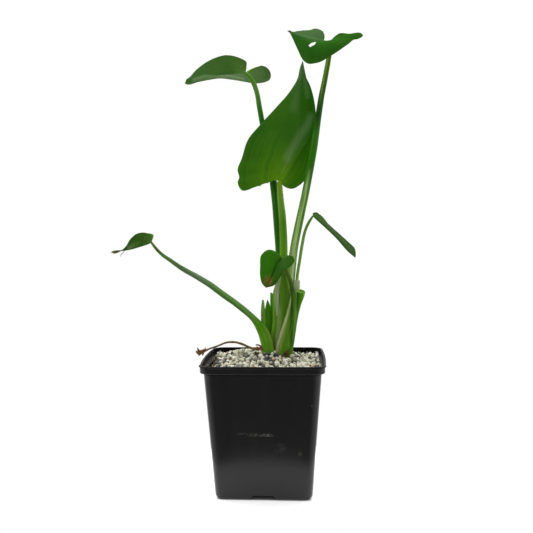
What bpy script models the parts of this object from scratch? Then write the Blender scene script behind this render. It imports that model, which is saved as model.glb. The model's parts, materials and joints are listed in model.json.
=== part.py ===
"""Potted pickerelweed: a young bog plant in a square nursery pot topped with grit.

Lengths are millimetres until a mesh is made, where MM turns them into Blender's metres.
The origin is the middle of the pot's underside, +Z is up, and the plant's front faces -Y.
"""
import math

import bmesh
import bpy
import numpy as np
from mathutils import Vector, noise

MM = 0.001
GAP = 0.3                   # clearance kept between touching pieces
BACK = np.array([0.0, 1.0, 0.0])

# Pot
POT_HEIGHT = 120.0
WALL = 1.2
BODY_HALF_TOP = 52.0        # half width of the tapered body just under the rim collar
BODY_HALF_FOOT = 43.6       # and just above the rounded bottom edge
BODY_CORNER = 9.0
FOOT_ROUND = 3.0
COLLAR_HALF = 54.9
COLLAR_HEIGHT = 7.0
COLLAR_EDGE = 1.0
BEAD_HALF = 55.8            # the thin lip round the top edge
BEAD_HEIGHT = 1.6
LEFT_BOW = 2.9              # how far the rim's sides bulge, most of all at BOW_MIDDLE behind the front
RIGHT_BOW = 2.0
END_BOW = 1.0
BOW_MIDDLE = 15.0
BOW_HALF = 55.0
CHANNEL_HEIGHT = 4.4        # the cross-shaped hollow under the floor, open at a notch in each side
CHANNEL_HALF_TOP = 9.0
CHANNEL_HALF_FOOT = 12.5
CENTRE_PAD_HALF = 13.0
DRAIN_RADIUS = 4.0
DRAIN_OFFSET = 26.0
DRAIN_SIDES = 12
CORNER_STEPS = 4
SIDE_STEPS = 4
THROUGH = 1.0               # how far a cutter runs past the face that it cuts
# Rounded bottom edge of the body: shares of FOOT_ROUND, inwards from the side and up from the ground
FOOT_CURVE = [(0.7, 0.0), (0.3, 0.2), (0.1, 0.6), (0.0, 1.0)]
POCKET_CORNER = 0.7         # how far a foot's hollow is cut across its corner, as a share of BODY_CORNER

# Fill
SOIL_TOP = 104.0
GRIT_TOP = 114.4
GRIT_BUMP = 1.2
GRIT_BUMP_SIZE = 5.0
GRIT_SIDES = 36
GRIT_RINGS = 7
CROWN_TOP = 116.0
CROWN_CENTRE = (13.5, 14.0)
# Mounds of grit round the crown, in front of it, behind its left and along the back: middle, height and spread
MOUNDS = [(CROWN_CENTRE, 3.5, 26.0), ((3.0, 5.0), 7.0, 14.0), ((-20.0, 36.0), 5.0, 20.0), ((0.0, 62.0), 2.4, 50.0)]
CROWN_HALF = (20.0, 16.0)
CROWN_SIDES = 14
# Crown rings: height over the soil as a share of the crown's, and width as a share of CROWN_HALF
CROWN_RINGS = [(0.0, 0.86), (0.25, 0.97), (0.6, 0.99), (1.0, 0.93)]

# Leaves
BLADE_THICKNESS = 0.9
BLADE_ROWS = 17
BLADE_COLUMNS = 4
VEIN_SPREAD = 1.7           # how much closer the veins leave the midrib near its start
CREASE_SHARE = 0.4          # where a pleated half has its crease, from midrib to margin
STEM_SIDES = 10
SHEATH_SIDES = 8

LOOKS = {
    "black_plastic": ((0.018, 0.018, 0.020), 0.42),
    "potting_mix": ((0.030, 0.018, 0.010), 0.95),
    "grit": ((0.55, 0.53, 0.46), 0.85),
    "rootstock": ((0.10, 0.07, 0.035), 0.80),
    "leaf": ((0.055, 0.17, 0.025), 0.38),
    "stem": ((0.12, 0.25, 0.05), 0.40),
    "sheath": ((0.07, 0.20, 0.04), 0.45),
    "pale_sheath": ((0.50, 0.57, 0.32), 0.50),
    "dry_leaf": ((0.22, 0.13, 0.05), 0.80),
    "bark": ((0.06, 0.03, 0.015), 0.90),
}


def unit(vectors):
    """Vectors of length one."""
    return vectors / np.linalg.norm(vectors, axis=-1, keepdims=True)


def spline(points, shares):
    """Rows on the smooth curve through the points, at the given shares of its length.

    The first three columns are a place, and any others follow along with it.
    """
    knots = np.asarray(points, float)
    gaps = np.linalg.norm(np.diff(knots[:, :3], axis=0), axis=1)
    at = np.concatenate(([0.0], np.cumsum(gaps)))
    slope = np.gradient(knots, at, axis=0)
    where = np.asarray(shares) * at[-1]
    k = np.clip(np.searchsorted(at, where, side="right") - 1, 0, len(at) - 2)
    span = (at[k + 1] - at[k])[:, None]
    s = (where - at[k])[:, None] / span
    return (
        knots[k] * (1 + 2 * s) * (1 - s) ** 2
        + knots[k + 1] * s * s * (3 - 2 * s)
        + slope[k] * span * s * (1 - s) ** 2
        - slope[k + 1] * span * s * s * (1 - s)
    )


def material(name):
    """Principled material of one of the object's looks."""
    if name in bpy.data.materials:
        return bpy.data.materials[name]
    colour, roughness = LOOKS[name]
    made = bpy.data.materials.new(name)
    made.use_nodes = True
    shader = made.node_tree.nodes["Principled BSDF"]
    shader.inputs["Base Color"].default_value = (*colour, 1.0)
    shader.inputs["Roughness"].default_value = roughness
    shader.inputs["Metallic"].default_value = 0.0
    return made


def solid(name, points, faces, look, smooth_angle=40.0):
    """Closed mesh object from points in millimetres, its faces turned outwards."""
    mesh = bpy.data.meshes.new(name)
    mesh.from_pydata([Vector(p) * MM for p in points], [], faces)
    build = bmesh.new()
    build.from_mesh(mesh)
    bmesh.ops.recalc_face_normals(build, faces=build.faces)
    build.to_mesh(mesh)
    build.free()
    mesh.materials.append(material(look))
    mesh.shade_smooth()
    mesh.set_sharp_from_angle(angle=math.radians(smooth_angle))
    made = bpy.data.objects.new(name, mesh)
    bpy.context.scene.collection.objects.link(made)
    return made


def loft(name, rings, look, smooth_angle=40.0, closed=False):
    """Solid skinned over rings of equal length; a closed loft joins its last ring to its first."""
    sides = len(rings[0])
    points = [tuple(p) for ring in rings for p in ring]
    faces = []
    for i in range(len(rings) if closed else len(rings) - 1):
        low = i * sides
        high = (i + 1) % len(rings) * sides
        for k in range(sides):
            after = (k + 1) % sides
            faces.append((low + k, low + after, high + after, high + k))
    if not closed:
        faces.append(tuple(range(sides - 1, -1, -1)))
        faces.append(tuple(range(len(points) - sides, len(points))))
    return solid(name, points, faces, look, smooth_angle)


def cut(target, cutter):
    """Boolean difference that leaves its cutter out of the build."""
    cutter.hide_render = True
    cutter.display_type = "WIRE"
    step = target.modifiers.new("cut " + cutter.name, "BOOLEAN")
    step.operation = "DIFFERENCE"
    step.object = cutter


# Pot

def turned(points, quarter_turns):
    """Points turned about the pot's axis by quarter turns."""
    for _ in range(quarter_turns):
        points = [(-y, x, z) for x, y, z in points]
    return points


def bowed(x, y, z):
    """Point of the square pot moved outwards with its thin sides, which bulge more towards the rim."""
    rise = (z / POT_HEIGHT) ** 2
    side = max(1 - ((y - BOW_MIDDLE) / BOW_HALF) ** 2, 0.0) * (RIGHT_BOW if x > 0 else LEFT_BOW)
    end = max(1 - (x / BOW_HALF) ** 2, 0.0) * END_BOW
    return x * (1 + rise * side / BEAD_HALF), y * (1 + rise * end / BEAD_HALF), z


def square_ring(half, corner, z):
    """Points round a square with rounded corners and bowed sides at one height."""
    reach = half - corner
    quarter = []
    for step in range(CORNER_STEPS + 1):
        angle = math.radians(90.0 * step / CORNER_STEPS)
        quarter.append((reach + corner * math.cos(angle), reach + corner * math.sin(angle), z))
    for step in range(1, SIDE_STEPS):
        quarter.append((reach * (1 - 2 * step / SIDE_STEPS), half, z))
    return [bowed(*point) for turn in range(4) for point in turned(quarter, turn)]


def body_half(z):
    """Half width of the pot's tapered body, outside, at a height."""
    share = (z - FOOT_ROUND) / (POT_HEIGHT - COLLAR_HEIGHT - FOOT_ROUND)
    return BODY_HALF_FOOT + share * (BODY_HALF_TOP - BODY_HALF_FOOT)


def make_pot():
    """Thin-walled pot: body, stepped collar with a lip, and a floor raised over a cross-shaped channel."""
    collar_foot = POT_HEIGHT - COLLAR_HEIGHT
    shelf = collar_foot + WALL
    floor = CHANNEL_HEIGHT + WALL
    profile = [(BODY_HALF_FOOT - inwards * FOOT_ROUND, up * FOOT_ROUND) for inwards, up in FOOT_CURVE]
    profile += [
        (body_half(SOIL_TOP), SOIL_TOP),
        (body_half(collar_foot), collar_foot),
        (COLLAR_HALF - COLLAR_EDGE, collar_foot),
        (COLLAR_HALF, collar_foot + COLLAR_EDGE),
        (COLLAR_HALF, POT_HEIGHT - BEAD_HEIGHT),
        (BEAD_HALF, POT_HEIGHT - 0.6 * BEAD_HEIGHT),
        (BEAD_HALF - 0.2 * BEAD_HEIGHT, POT_HEIGHT),
        (COLLAR_HALF - WALL, POT_HEIGHT),
        (COLLAR_HALF - WALL, shelf),
        (body_half(collar_foot) - WALL, shelf),
        (body_half(SOIL_TOP) - WALL, SOIL_TOP),
        (body_half(floor) - WALL, floor),
    ]
    pot = loft("pot", [square_ring(half, BODY_CORNER, z) for half, z in profile], "black_plastic")
    for turn in range(4):
        cut(pot, channel_cutter(turn))
        cut(pot, drain_cutter(turn))
        cut(pot, foot_pocket(turn))


def channel_cutter(turn):
    """One arm of the hollow under the floor, with sloping sides."""
    section = [
        (-CHANNEL_HALF_FOOT, -THROUGH), (CHANNEL_HALF_FOOT, -THROUGH),
        (CHANNEL_HALF_TOP, CHANNEL_HEIGHT), (-CHANNEL_HALF_TOP, CHANNEL_HEIGHT),
    ]
    rings = [turned([(side, -reach, z) for side, z in section], turn)
             for reach in (CENTRE_PAD_HALF, BODY_HALF_TOP)]
    return loft(f"channel_cutter_{turn}", rings, "black_plastic")


def oval(centre, half_x, half_y, z, sides):
    """Points round a level oval."""
    angles = [2 * math.pi * k / sides for k in range(sides)]
    return [(centre[0] + half_x * math.cos(a), centre[1] + half_y * math.sin(a), z) for a in angles]


def drain_cutter(turn):
    """Round drain hole through the raised floor."""
    rings = []
    for z in (CHANNEL_HEIGHT - THROUGH, CHANNEL_HEIGHT + WALL + THROUGH):
        rings.append(turned(oval((0.0, -DRAIN_OFFSET), DRAIN_RADIUS, DRAIN_RADIUS, z, DRAIN_SIDES), turn))
    return loft(f"drain_cutter_{turn}", rings, "black_plastic")


def foot_pocket(turn):
    """Hollow inside a corner foot, which keeps the foot as thin as the wall."""
    near = CHANNEL_HALF_FOOT + WALL
    far = BODY_HALF_FOOT - WALL - THROUGH
    slant = far - POCKET_CORNER * BODY_CORNER
    ring = [(near, near), (far, near), (far, slant), (slant, far), (near, far)]
    rings = [turned([(x, y, z) for x, y in ring], turn) for z in (WALL, CHANNEL_HEIGHT + WALL + THROUGH)]
    return loft(f"foot_pocket_{turn}", rings, "black_plastic")


# Soil, grit and crown

def make_soil():
    """Potting mix that fills the body under the grit."""
    low = CHANNEL_HEIGHT + WALL + GAP
    rings = [square_ring(body_half(z) - WALL - 2 * GAP, BODY_CORNER, z) for z in (low, SOIL_TOP)]
    loft("soil", rings, "potting_mix")


def grit_height(x, y):
    """Top of the grit: its mounds, with the bumps of its stones."""
    height = GRIT_TOP + GRIT_BUMP * noise.noise(Vector((x, y, 3.0)) / GRIT_BUMP_SIZE)
    for centre, top, spread in MOUNDS:
        away = math.hypot(x - centre[0], y - centre[1])
        height += top * math.exp(-(away / spread) ** 2)
    return height


def evenly_round(ring, count):
    """Points evenly spaced round a closed ring."""
    around = np.vstack((ring, ring[:1]))
    walked = np.concatenate(([0.0], np.cumsum(np.linalg.norm(np.diff(around, axis=0), axis=1))))
    where = np.linspace(0.0, walked[-1], count, endpoint=False)
    return np.stack([np.interp(where, walked, around[:, axis]) for axis in range(3)], axis=1)


def make_gravel():
    """Layer of grit with a hole for the crown, its top ring by ring from the wall to the hole."""
    low = SOIL_TOP + GAP
    wall_ring = square_ring(body_half(low) - WALL - GAP, BODY_CORNER, low)
    wall_ring = evenly_round(np.array(wall_ring), GRIT_SIDES)
    angles = np.arctan2(wall_ring[:, 1], wall_ring[:, 0])
    hole_ring = wall_ring.copy()
    hole_ring[:, 0] = CROWN_CENTRE[0] + (CROWN_HALF[0] + GAP) * np.cos(angles)
    hole_ring[:, 1] = CROWN_CENTRE[1] + (CROWN_HALF[1] + GAP) * np.sin(angles)
    rings = [hole_ring, wall_ring]
    for step in range(GRIT_RINGS + 1):
        ring = wall_ring + (hole_ring - wall_ring) * step / GRIT_RINGS
        rings.append([(x, y, grit_height(x, y)) for x, y, _ in ring])
    loft("gravel", rings, "grit", closed=True)


def make_crown():
    """Short rootstock in the hole of the grit, flat where the stems leave it."""
    low = SOIL_TOP + GAP
    rings = []
    for up, share in CROWN_RINGS:
        half_x, half_y = (share * (half - GAP) for half in CROWN_HALF)
        rings.append(oval(CROWN_CENTRE, half_x, half_y, low + up * (CROWN_TOP - low), CROWN_SIDES))
    loft("crown", rings, "rootstock")


# Stems and sheaths. A station is a point of the stem's middle line, then its half width and half depth.

def make_stem(name, stations, look, rings, sides=SHEATH_SIDES):
    """Closed stem or strip with an oval section through its stations."""
    rows = spline(stations, np.linspace(0.0, 1.0, rings))
    centre = rows[:, :3]
    along = unit(np.gradient(centre, axis=0))
    deep = unit(BACK - along * (along @ BACK)[:, None])
    wide = np.cross(deep, along)
    angle = 2 * math.pi * np.arange(sides) / sides
    skin = (
        centre[:, None]
        + (wide * rows[:, 3:4])[:, None] * np.cos(angle)[:, None]
        + (deep * rows[:, 4:5])[:, None] * np.sin(angle)[:, None]
    )
    loft(name, skin, look, smooth_angle=60.0)


TALL_RIGHT_STEM = [
    (16.5, 23.5, 117, 4.4, 3.6), (18.5, 23, 138, 4.2, 3.6), (21.5, 18.5, 165, 4.0, 3.6),
    (25.4, 14.5, 197, 4.1, 3.6), (28.5, 12.5, 224, 3.9, 3.7), (33, 10.5, 246, 3.8, 3.6),
    (38.5, 9, 270.5, 3.6, 3.4), (43.5, 8, 295, 3.5, 3.3), (48.5, 8, 321, 3.3, 3.1),
    (52.5, 8.5, 348, 3.0, 2.9), (56, 9, 370, 2.8, 2.7), (60.5, 10, 392, 2.5, 2.4), (65.2, 12, 420, 1.8, 1.8),
]
TALL_LEFT_STEM = [
    (7, 22.2, 117, 4.2, 3.2), (9, 21.6, 140, 4.0, 3.4), (13, 19.8, 173, 3.8, 3.5), (14.5, 18, 198, 3.8, 3.6),
    (14, 17.5, 222, 3.8, 3.6), (12.5, 18, 244, 3.8, 3.6), (10.5, 19, 272, 3.8, 3.6),
    (6.5, 20, 302, 3.3, 3.2), (0.5, 21, 334, 2.8, 2.8), (-5, 21.5, 365, 2.5, 2.5),
    (-8, 21, 382, 2.3, 2.3), (-11, 20.5, 390, 2.4, 2.3), (-15, 20, 396, 2.0, 2.0),
]
MIDDLE_STEM = [
    (10, 13.2, 117, 5.3, 2.6), (10.7, 13, 126, 5.9, 2.7), (11.8, 12.3, 135.5, 6.9, 2.9),
    (14.7, 11, 151.5, 7.6, 3.3), (15.6, 9.4, 167.3, 8.4, 3.7), (16, 7.6, 182, 7.9, 3.8),
    (17.6, 6.4, 194, 5.2, 3.6), (18.3, 6, 212, 3.9, 3.4), (18.3, 6, 231.5, 3.7, 3.3), (17.2, 6, 256, 3.4, 3.0),
    (15.5, 6, 275, 2.9, 2.4),
    (15, 6, 284, 2.6, 1.9),
]
ARCHING_STEM = [
    (2.7, 7, 117, 5.2, 2.8), (2.5, 7, 125, 5.4, 2.8), (0.9, 6.8, 134, 5.8, 3.0), (-1.6, 7, 141, 5.3, 3.0),
    (-4.8, 7.5, 146.5, 4.5, 2.9), (-8.3, 8.5, 151.5, 3.7, 2.8), (-12.1, 9.5, 155.7, 3.1, 2.7),
    (-23.8, 11, 165.7, 3.0, 2.8), (-43.8, 12.5, 180.2, 3.05, 2.9), (-55, 12.5, 188.5, 2.9, 2.7),
    (-68, 12.5, 196.5, 2.7, 2.6), (-83, 12.5, 205, 2.3, 2.2), (-94.5, 12.5, 213, 1.9, 1.8),
    (-103.5, 12.5, 219.5, 1.6, 1.5), (-110, 12.5, 226.5, 1.4, 1.3),
    (-112, 12.5, 229, 1.3, 1.2),
]
FRONT_STEM = [
    (18, 6.4, 117, 8.3, 2.7), (18.7, 6.2, 126, 8.1, 2.7), (20.6, 5.6, 136.5, 7.1, 2.8),
    (22.8, 5, 146.5, 6.2, 2.8), (24.9, 4, 156, 5.4, 2.8), (26.5, 3.2, 167, 3.9, 2.7),
    (27.1, 2.6, 176.5, 2.8, 2.6), (26.5, 2, 185, 2.3, 2.4), (24.8, 1, 192, 2.1, 2.1),
    (22.5, 0, 198.5, 1.9, 1.9), (19.5, -0.5, 206, 1.6, 1.6), (18, -1, 210, 1.3, 1.3),
]
SIDE_STEM = [
    (23.5, 21, 117, 1.9, 1.8), (25.5, 21, 138, 1.9, 1.8), (28.5, 17, 166, 1.8, 1.7),
    (30.5, 14, 184.5, 1.6, 1.5), (31.5, 12.5, 196.5, 1.5, 1.4), (34, 11, 212, 1.5, 1.4),
    (36.5, 10, 227.5, 1.5, 1.4), (40.5, 9.5, 243.5, 1.4, 1.3), (43.5, 9, 249.5, 1.4, 1.3),
    (45.5, 9, 252.5, 1.2, 1.1),
]
# Free sheath tips and cut stubs: a strip leans on the stem that it belongs to.
LEFT_LIGULE = [
    (-1.5, 12, 117, 2.4, 0.8), (-2, 12, 135, 2.4, 0.8), (-2.5, 12, 152, 2.0, 0.6),
    (-2.5, 12, 166, 1.8, 0.6), (-2.5, 12, 173, 1.0, 0.5),
]
POINTED_SHEATH = [
    (3.5, 16.2, 117, 2.6, 1.2), (2.5, 15.5, 132, 3.4, 1.3), (2.5, 15, 150, 3.7, 1.3),
    (2.2, 13.4, 163, 3.0, 1.2), (2.3, 12.8, 169, 1.8, 0.9), (2.1, 12.5, 173, 0.4, 0.5),
]
BACK_STUB = [
    (9.5, 17.5, 117, 2.2, 0.7), (9, 16.6, 148, 2.6, 0.9), (7.5, 15.6, 165, 2.8, 1.0),
    (7, 15, 179.5, 2.4, 1.1),
]
WHITE_LIGULE = [
    (11.6, 4.2, 158, 0.5, 0.4), (11.5, 3.9, 165, 1.4, 0.5), (11.3, 3.4, 172, 2.0, 0.5),
    (11.7, 2.9, 181.5, 2.2, 0.5), (13.1, 1.7, 192, 2.1, 0.5), (15.1, 1.2, 201, 0.6, 0.4),
]
PALE_SHEATH = [
    (28.6, 16, 150, 1.3, 0.6), (29.6, 14.3, 164, 1.9, 0.6), (30.6, 12.9, 174, 2.4, 0.6),
    (31.1, 11.6, 183, 2.8, 0.6), (31.2, 10.5, 192.3, 2.8, 0.6),
]
RIGHT_STUB = [
    (24.5, 13.4, 117, 1.3, 1.3), (26.9, 12.4, 134, 1.5, 1.4), (28.3, 11.6, 143.7, 1.6, 1.5),
    (29.6, 11, 153.5, 1.8, 1.6), (30.9, 10.4, 161.4, 2.0, 1.8), (32.2, 9.6, 167.8, 2.4, 2.1),
    (33.3, 9, 172.2, 2.8, 2.4), (34.2, 8.2, 176, 3.4, 2.7), (34.7, 7.1, 179.5, 3.9, 2.8),
    (35, 5.6, 181.8, 4.0, 2.8),
]
DEAD_STEM = [
    (-7, 17, 123.1, 1.1, 1.0), (-15.5, 19.5, 125, 1.2, 1.1), (-24.5, 22, 128.3, 1.2, 1.1),
    (-31.5, 24, 129.8, 1.1, 1.0), (-40, 26, 129.3, 1.0, 1.0), (-47, 28, 126.6, 1.0, 1.0),
    (-56, 31, 123, 1.0, 0.9), (-61, 32.4, 121.1, 0.9, 0.8),
]
# Dry scraps at the plant's foot
BROWN_SCRAP = [
    (-9.5, 6.5, 130, 0.5, 0.4), (-7, 6.5, 129, 0.9, 0.5), (-5, 6, 127, 0.8, 0.5), (-4, 5.5, 124, 0.6, 0.5),
]
ROOT_SCRAP = [
    (14.8, 1.2, 120.4, 1.2, 0.7), (17.6, 1.2, 121.6, 2.2, 0.9), (20.8, 1.2, 123, 2.6, 1.0),
    (23.4, 1.6, 124.8, 1.4, 0.7),
]
BARK_BIT = [
    (-9.5, 4, 124.2, 1.0, 0.8), (-7.5, 3.6, 124.1, 1.6, 1.2), (-5, 3.2, 124.4, 1.2, 1.0),
    (-4, 3, 124.8, 0.6, 0.5),
]

STEMS = [
    ("tall_right_stem", TALL_RIGHT_STEM, "stem", 26, STEM_SIDES),
    ("tall_left_stem", TALL_LEFT_STEM, "stem", 24, STEM_SIDES),
    ("middle_stem", MIDDLE_STEM, "stem", 22, STEM_SIDES),
    ("arching_stem", ARCHING_STEM, "stem", 26, SHEATH_SIDES),
    ("front_stem", FRONT_STEM, "stem", 18, SHEATH_SIDES),
    ("side_stem", SIDE_STEM, "stem", 18, SHEATH_SIDES),
    ("left_ligule", LEFT_LIGULE, "pale_sheath", 8, SHEATH_SIDES),
    ("pointed_sheath", POINTED_SHEATH, "sheath", 9, SHEATH_SIDES),
    ("back_stub", BACK_STUB, "sheath", 7, SHEATH_SIDES),
    ("white_ligule", WHITE_LIGULE, "pale_sheath", 10, SHEATH_SIDES),
    ("pale_sheath", PALE_SHEATH, "pale_sheath", 7, SHEATH_SIDES),
    ("right_stub", RIGHT_STUB, "sheath", 11, SHEATH_SIDES),
    ("dead_stem", DEAD_STEM, "dry_leaf", 16, SHEATH_SIDES),
    ("brown_scrap", BROWN_SCRAP, "dry_leaf", 6, SHEATH_SIDES),
    ("root_scrap", ROOT_SCRAP, "bark", 8, SHEATH_SIDES),
    ("bark_bit", BARK_BIT, "bark", 6, SHEATH_SIDES),
]

# Withered end: a crumpled star seen face on, its outline given from its middle as steps right and up
WITHERED_CENTRE = (-68.5, 33.5, 118.4)
WITHERED_OUTLINE = [
    (-5.4, -0.3), (-2.9, 3.3), (-1.0, 0.6), (1.8, 0.8), (4.2, 3.6), (6.4, 1.7),
    (4.2, -0.8), (2.1, -2.3), (-1.0, -4.5), (-3.1, -2.8),
]
WITHERED_HALF_DEPTH = 1.4
WITHERED_CURL = 2.3         # radians between the curls of neighbouring points


def make_withered_end():
    """Shrivelled leaf at the tip of the dry stem: a thin star with curled spikes."""
    centre = np.array(WITHERED_CENTRE)
    depth = BACK * WITHERED_HALF_DEPTH
    points = [tuple(centre - depth), tuple(centre + depth)]
    count = len(WITHERED_OUTLINE)
    for k, (right, rise) in enumerate(WITHERED_OUTLINE):
        curl = WITHERED_HALF_DEPTH * math.sin(WITHERED_CURL * k)
        points.append((centre[0] + right, centre[1] + curl, centre[2] + rise))
    faces = []
    for k in range(count):
        here = 2 + k
        after = 2 + (k + 1) % count
        faces.append((0, here, after))
        faces.append((1, after, here))
    solid("withered_end", points, faces, "dry_leaf", smooth_angle=20.0)


# Blades. The midrib runs from the stem's end to the tip. Each margin starts at the stem's end too,
# goes back round its lobe and meets the midrib at the tip. A crease is a pleat in the right half.

BLADES = {
    "tall_right_blade": {
        "midrib": [(66, 12, 425.5), (50, -7, 418), (33, -29, 414), (24, -41, 413.5)],
        "left": [
            (66, 12, 425.5), (69.5, 13, 429), (73.5, 13.5, 433), (84, 13, 432.5), (94.5, 11, 432),
            (96.5, 8.5, 428.5), (92, 6, 424.5), (87, 4, 422.7), (82.3, 0, 417.7), (77.3, -4, 413), (63, -15, 400),
            (49.5, -26, 390), (42, -31, 388), (38, -35, 389.5), (33, -38, 398), (27.5, -40, 409.5),
            (25.9, -40.8, 412.2), (24, -41, 413.5),
        ],
        "right": [
            (66, 12, 425.5), (60, 18, 428.6), (60.7, 31, 436), (60.9, 37, 443), (58.5, 42, 449.2),
            (55.3, 41, 450.2), (46, 30, 444.7), (39.3, 16, 438.4), (32.8, -6, 428.2), (28.1, -28, 418.2),
            (25.6, -39.5, 414.2), (24, -41, 413.5),
        ],
        "crease": [
            (62, 15, 426.5), (55, 17, 427.5), (47, 9, 427), (38.5, -6, 423), (30.5, -26, 417),
            (24, -41, 413.5),
        ],
    },
    "tall_left_blade": {
        "midrib": [(-18, 20, 399), (-46, 33, 403), (-74, 45, 403), (-86, 49.5, 400.5)],
        "left": [
            (-18, 20, 399), (-18.6, 14, 402), (-16.3, 8, 405.3), (-23, 3, 408), (-33.4, 2, 410.5),
            (-47.3, 7, 410.2), (-57.2, 13.5, 408.5), (-71.5, 28, 405), (-77.5, 35, 402.4), (-83.2, 44, 402.6),
            (-86, 49.5, 400.5),
        ],
        "right": [
            (-18, 20, 399), (-14, 23, 400.6), (-10, 26, 404.6), (-4.4, 29, 409.6), (2.2, 34, 409.4),
            (5.8, 40, 405.2), (4.5, 45, 401), (-1, 48, 399.3), (-10.3, 50, 399), (-22, 51, 401.2),
            (-36, 53, 404.6), (-49, 54, 406.5), (-60.8, 54, 405.4), (-73, 53, 402.8), (-83.5, 51, 400),
            (-86, 49.5, 400.5),
        ],
    },
    "middle_blade": {
        "midrib": [
            (15, 6, 288), (21, 7.5, 301.5), (29, 11, 323), (35, 12.5, 348), (36.5, 11.5, 376),
            (38.3, 10, 406.5),
        ],
        "left": [
            (15, 6, 288), (8, 5, 292), (-2, 3, 289.4), (-11, 1, 281.8), (-21, -1, 279.2), (-25, -2, 287),
            (-23.5, -1, 292), (-25, -2, 298), (-21, -1, 310), (-15, 0, 328), (-3.6, 3, 342.6),
            (11.5, 6, 359.6), (26, 9, 377), (33.4, 10, 390), (35.4, 10, 399), (38.3, 10, 406.5),
        ],
        "right": [
            (15, 6, 288), (19, 10, 284.4), (27, 16, 282.5), (34, 19, 286), (42, 20, 294.6), (47, 20, 310),
            (50, 19, 330), (51.2, 18, 348), (49.7, 15, 367), (45.6, 12, 382), (40.4, 10.5, 393),
            (38.3, 10, 406.5),
        ],
        "crease": [
            (15, 6, 288), (21, 13, 298), (34, 21, 319), (44, 22, 334), (47, 19, 352), (45, 14, 375),
            (38.3, 10, 406.5),
        ],
    },
    "arching_blade": {
        "midrib": [
            (-113, 12, 230.6), (-124, 10.5, 227), (-134, 10, 224.2), (-141, 10.6, 223.2), (-144, 11, 222.6),
            (-150, 11, 221.3), (-154.4, 12, 221.5),
        ],
        "left": [
            (-113, 12, 230.6), (-111.8, 7.5, 237.4), (-117, 6, 240), (-125, 6, 239.5), (-132, 7.5, 235),
            (-138.6, 9.5, 226.4), (-141.3, 10, 224.1), (-144, 10.7, 223), (-147, 10.8, 223.2),
            (-150, 10.8, 222.9), (-154.4, 12, 221.5),
        ],
        "right": [
            (-113, 12, 230.6), (-112.2, 16.5, 238.6), (-120, 18.5, 240.4), (-130, 19, 238.5), (-136, 17.5, 233),
            (-140.4, 14, 225.6), (-142.4, 12.2, 223.2), (-144.4, 11.5, 222), (-147, 11.3, 220.7),
            (-150, 11.2, 219.9), (-154.4, 12, 221.5),
        ],
    },
    "front_blade": {
        "midrib": [(17, -1, 214), (13, -5, 209), (10, -8.5, 202), (6.5, -11, 194), (2, -12, 186)],
        "left": [
            (17, -1, 214), (22, -3, 216.5), (27, -6, 215.5), (29, -9, 212), (26, -12, 206.5),
            (19, -14, 201.5), (14.5, -14.5, 194.5), (10.5, -14, 189), (2, -12, 186),
        ],
        "right": [
            (17, -1, 214), (11.5, -1, 220), (4, -3, 222), (-2.5, -6, 217), (-3.5, -10, 206),
            (-3.5, -12, 198), (-1.5, -13, 190), (2, -12, 186),
        ],
    },
    "side_blade": {
        "midrib": [(47, 9, 255), (58, 8.5, 245), (72, 7.5, 230.9), (80, 6.5, 221), (87.4, 5, 213.8)],
        "left": [
            (47, 9, 255), (48.5, 12, 257.5), (52, 14, 257.5), (64, 15, 245.5), (75.5, 14, 233),
            (84.5, 11, 225.6), (88, 7, 218), (87.4, 5, 213.8),
        ],
        "right": [
            (47, 9, 255), (47, 7, 257.3), (50.5, 5, 257.9), (56.2, 3.5, 251.6), (69, 2, 239.5),
            (80, 1.5, 229.2), (86.8, 2.5, 222), (87.4, 5, 213.8),
        ],
    },
}

# Slit in the tall right blade, bored along a line to the plant's front and below, its long side tilted
HOLE_CENTRE = (46.5, -14.5, 411.7)
HOLE_AXIS = (0.04, 0.92, 0.38)
HOLE_HALF = (3.9, 1.25)
HOLE_TILT = math.radians(25.0)
HOLE_REACH = 9.0
HOLE_SIDES = 8


def between(start, end, steps):
    """Rows of points stepping from one line to another."""
    share = np.linspace(0.0, 1.0, steps + 1)[None, :, None]
    return start[:, None] * (1 - share) + end[:, None] * share


def blade_half(midrib, margin, crease, rows, columns):
    """Sheet of one half of a blade: rows of points from the midrib to the margin."""
    share = np.linspace(0.0, 1.0, rows + 1)
    inner = spline(midrib, share ** VEIN_SPREAD)
    outer = spline(margin, share)
    if crease is None:
        return between(inner, outer, columns)
    fold = spline(crease, share ** ((1 + VEIN_SPREAD) / 2))
    bend = round(CREASE_SHARE * columns)
    return np.concatenate((between(inner, fold, bend), between(fold, outer, columns - bend)[:, 1:]), axis=1)


def blade_sheet(blade, rows, columns):
    """Middle surface of a blade from its left margin to its right; its first and last rows are points."""
    left = blade_half(blade["midrib"], blade["left"], None, rows, columns)
    right = blade_half(blade["midrib"], blade["right"], blade.get("crease"), rows, columns)
    return np.concatenate((left[:, ::-1], right[:, 1:]), axis=1)


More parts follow.
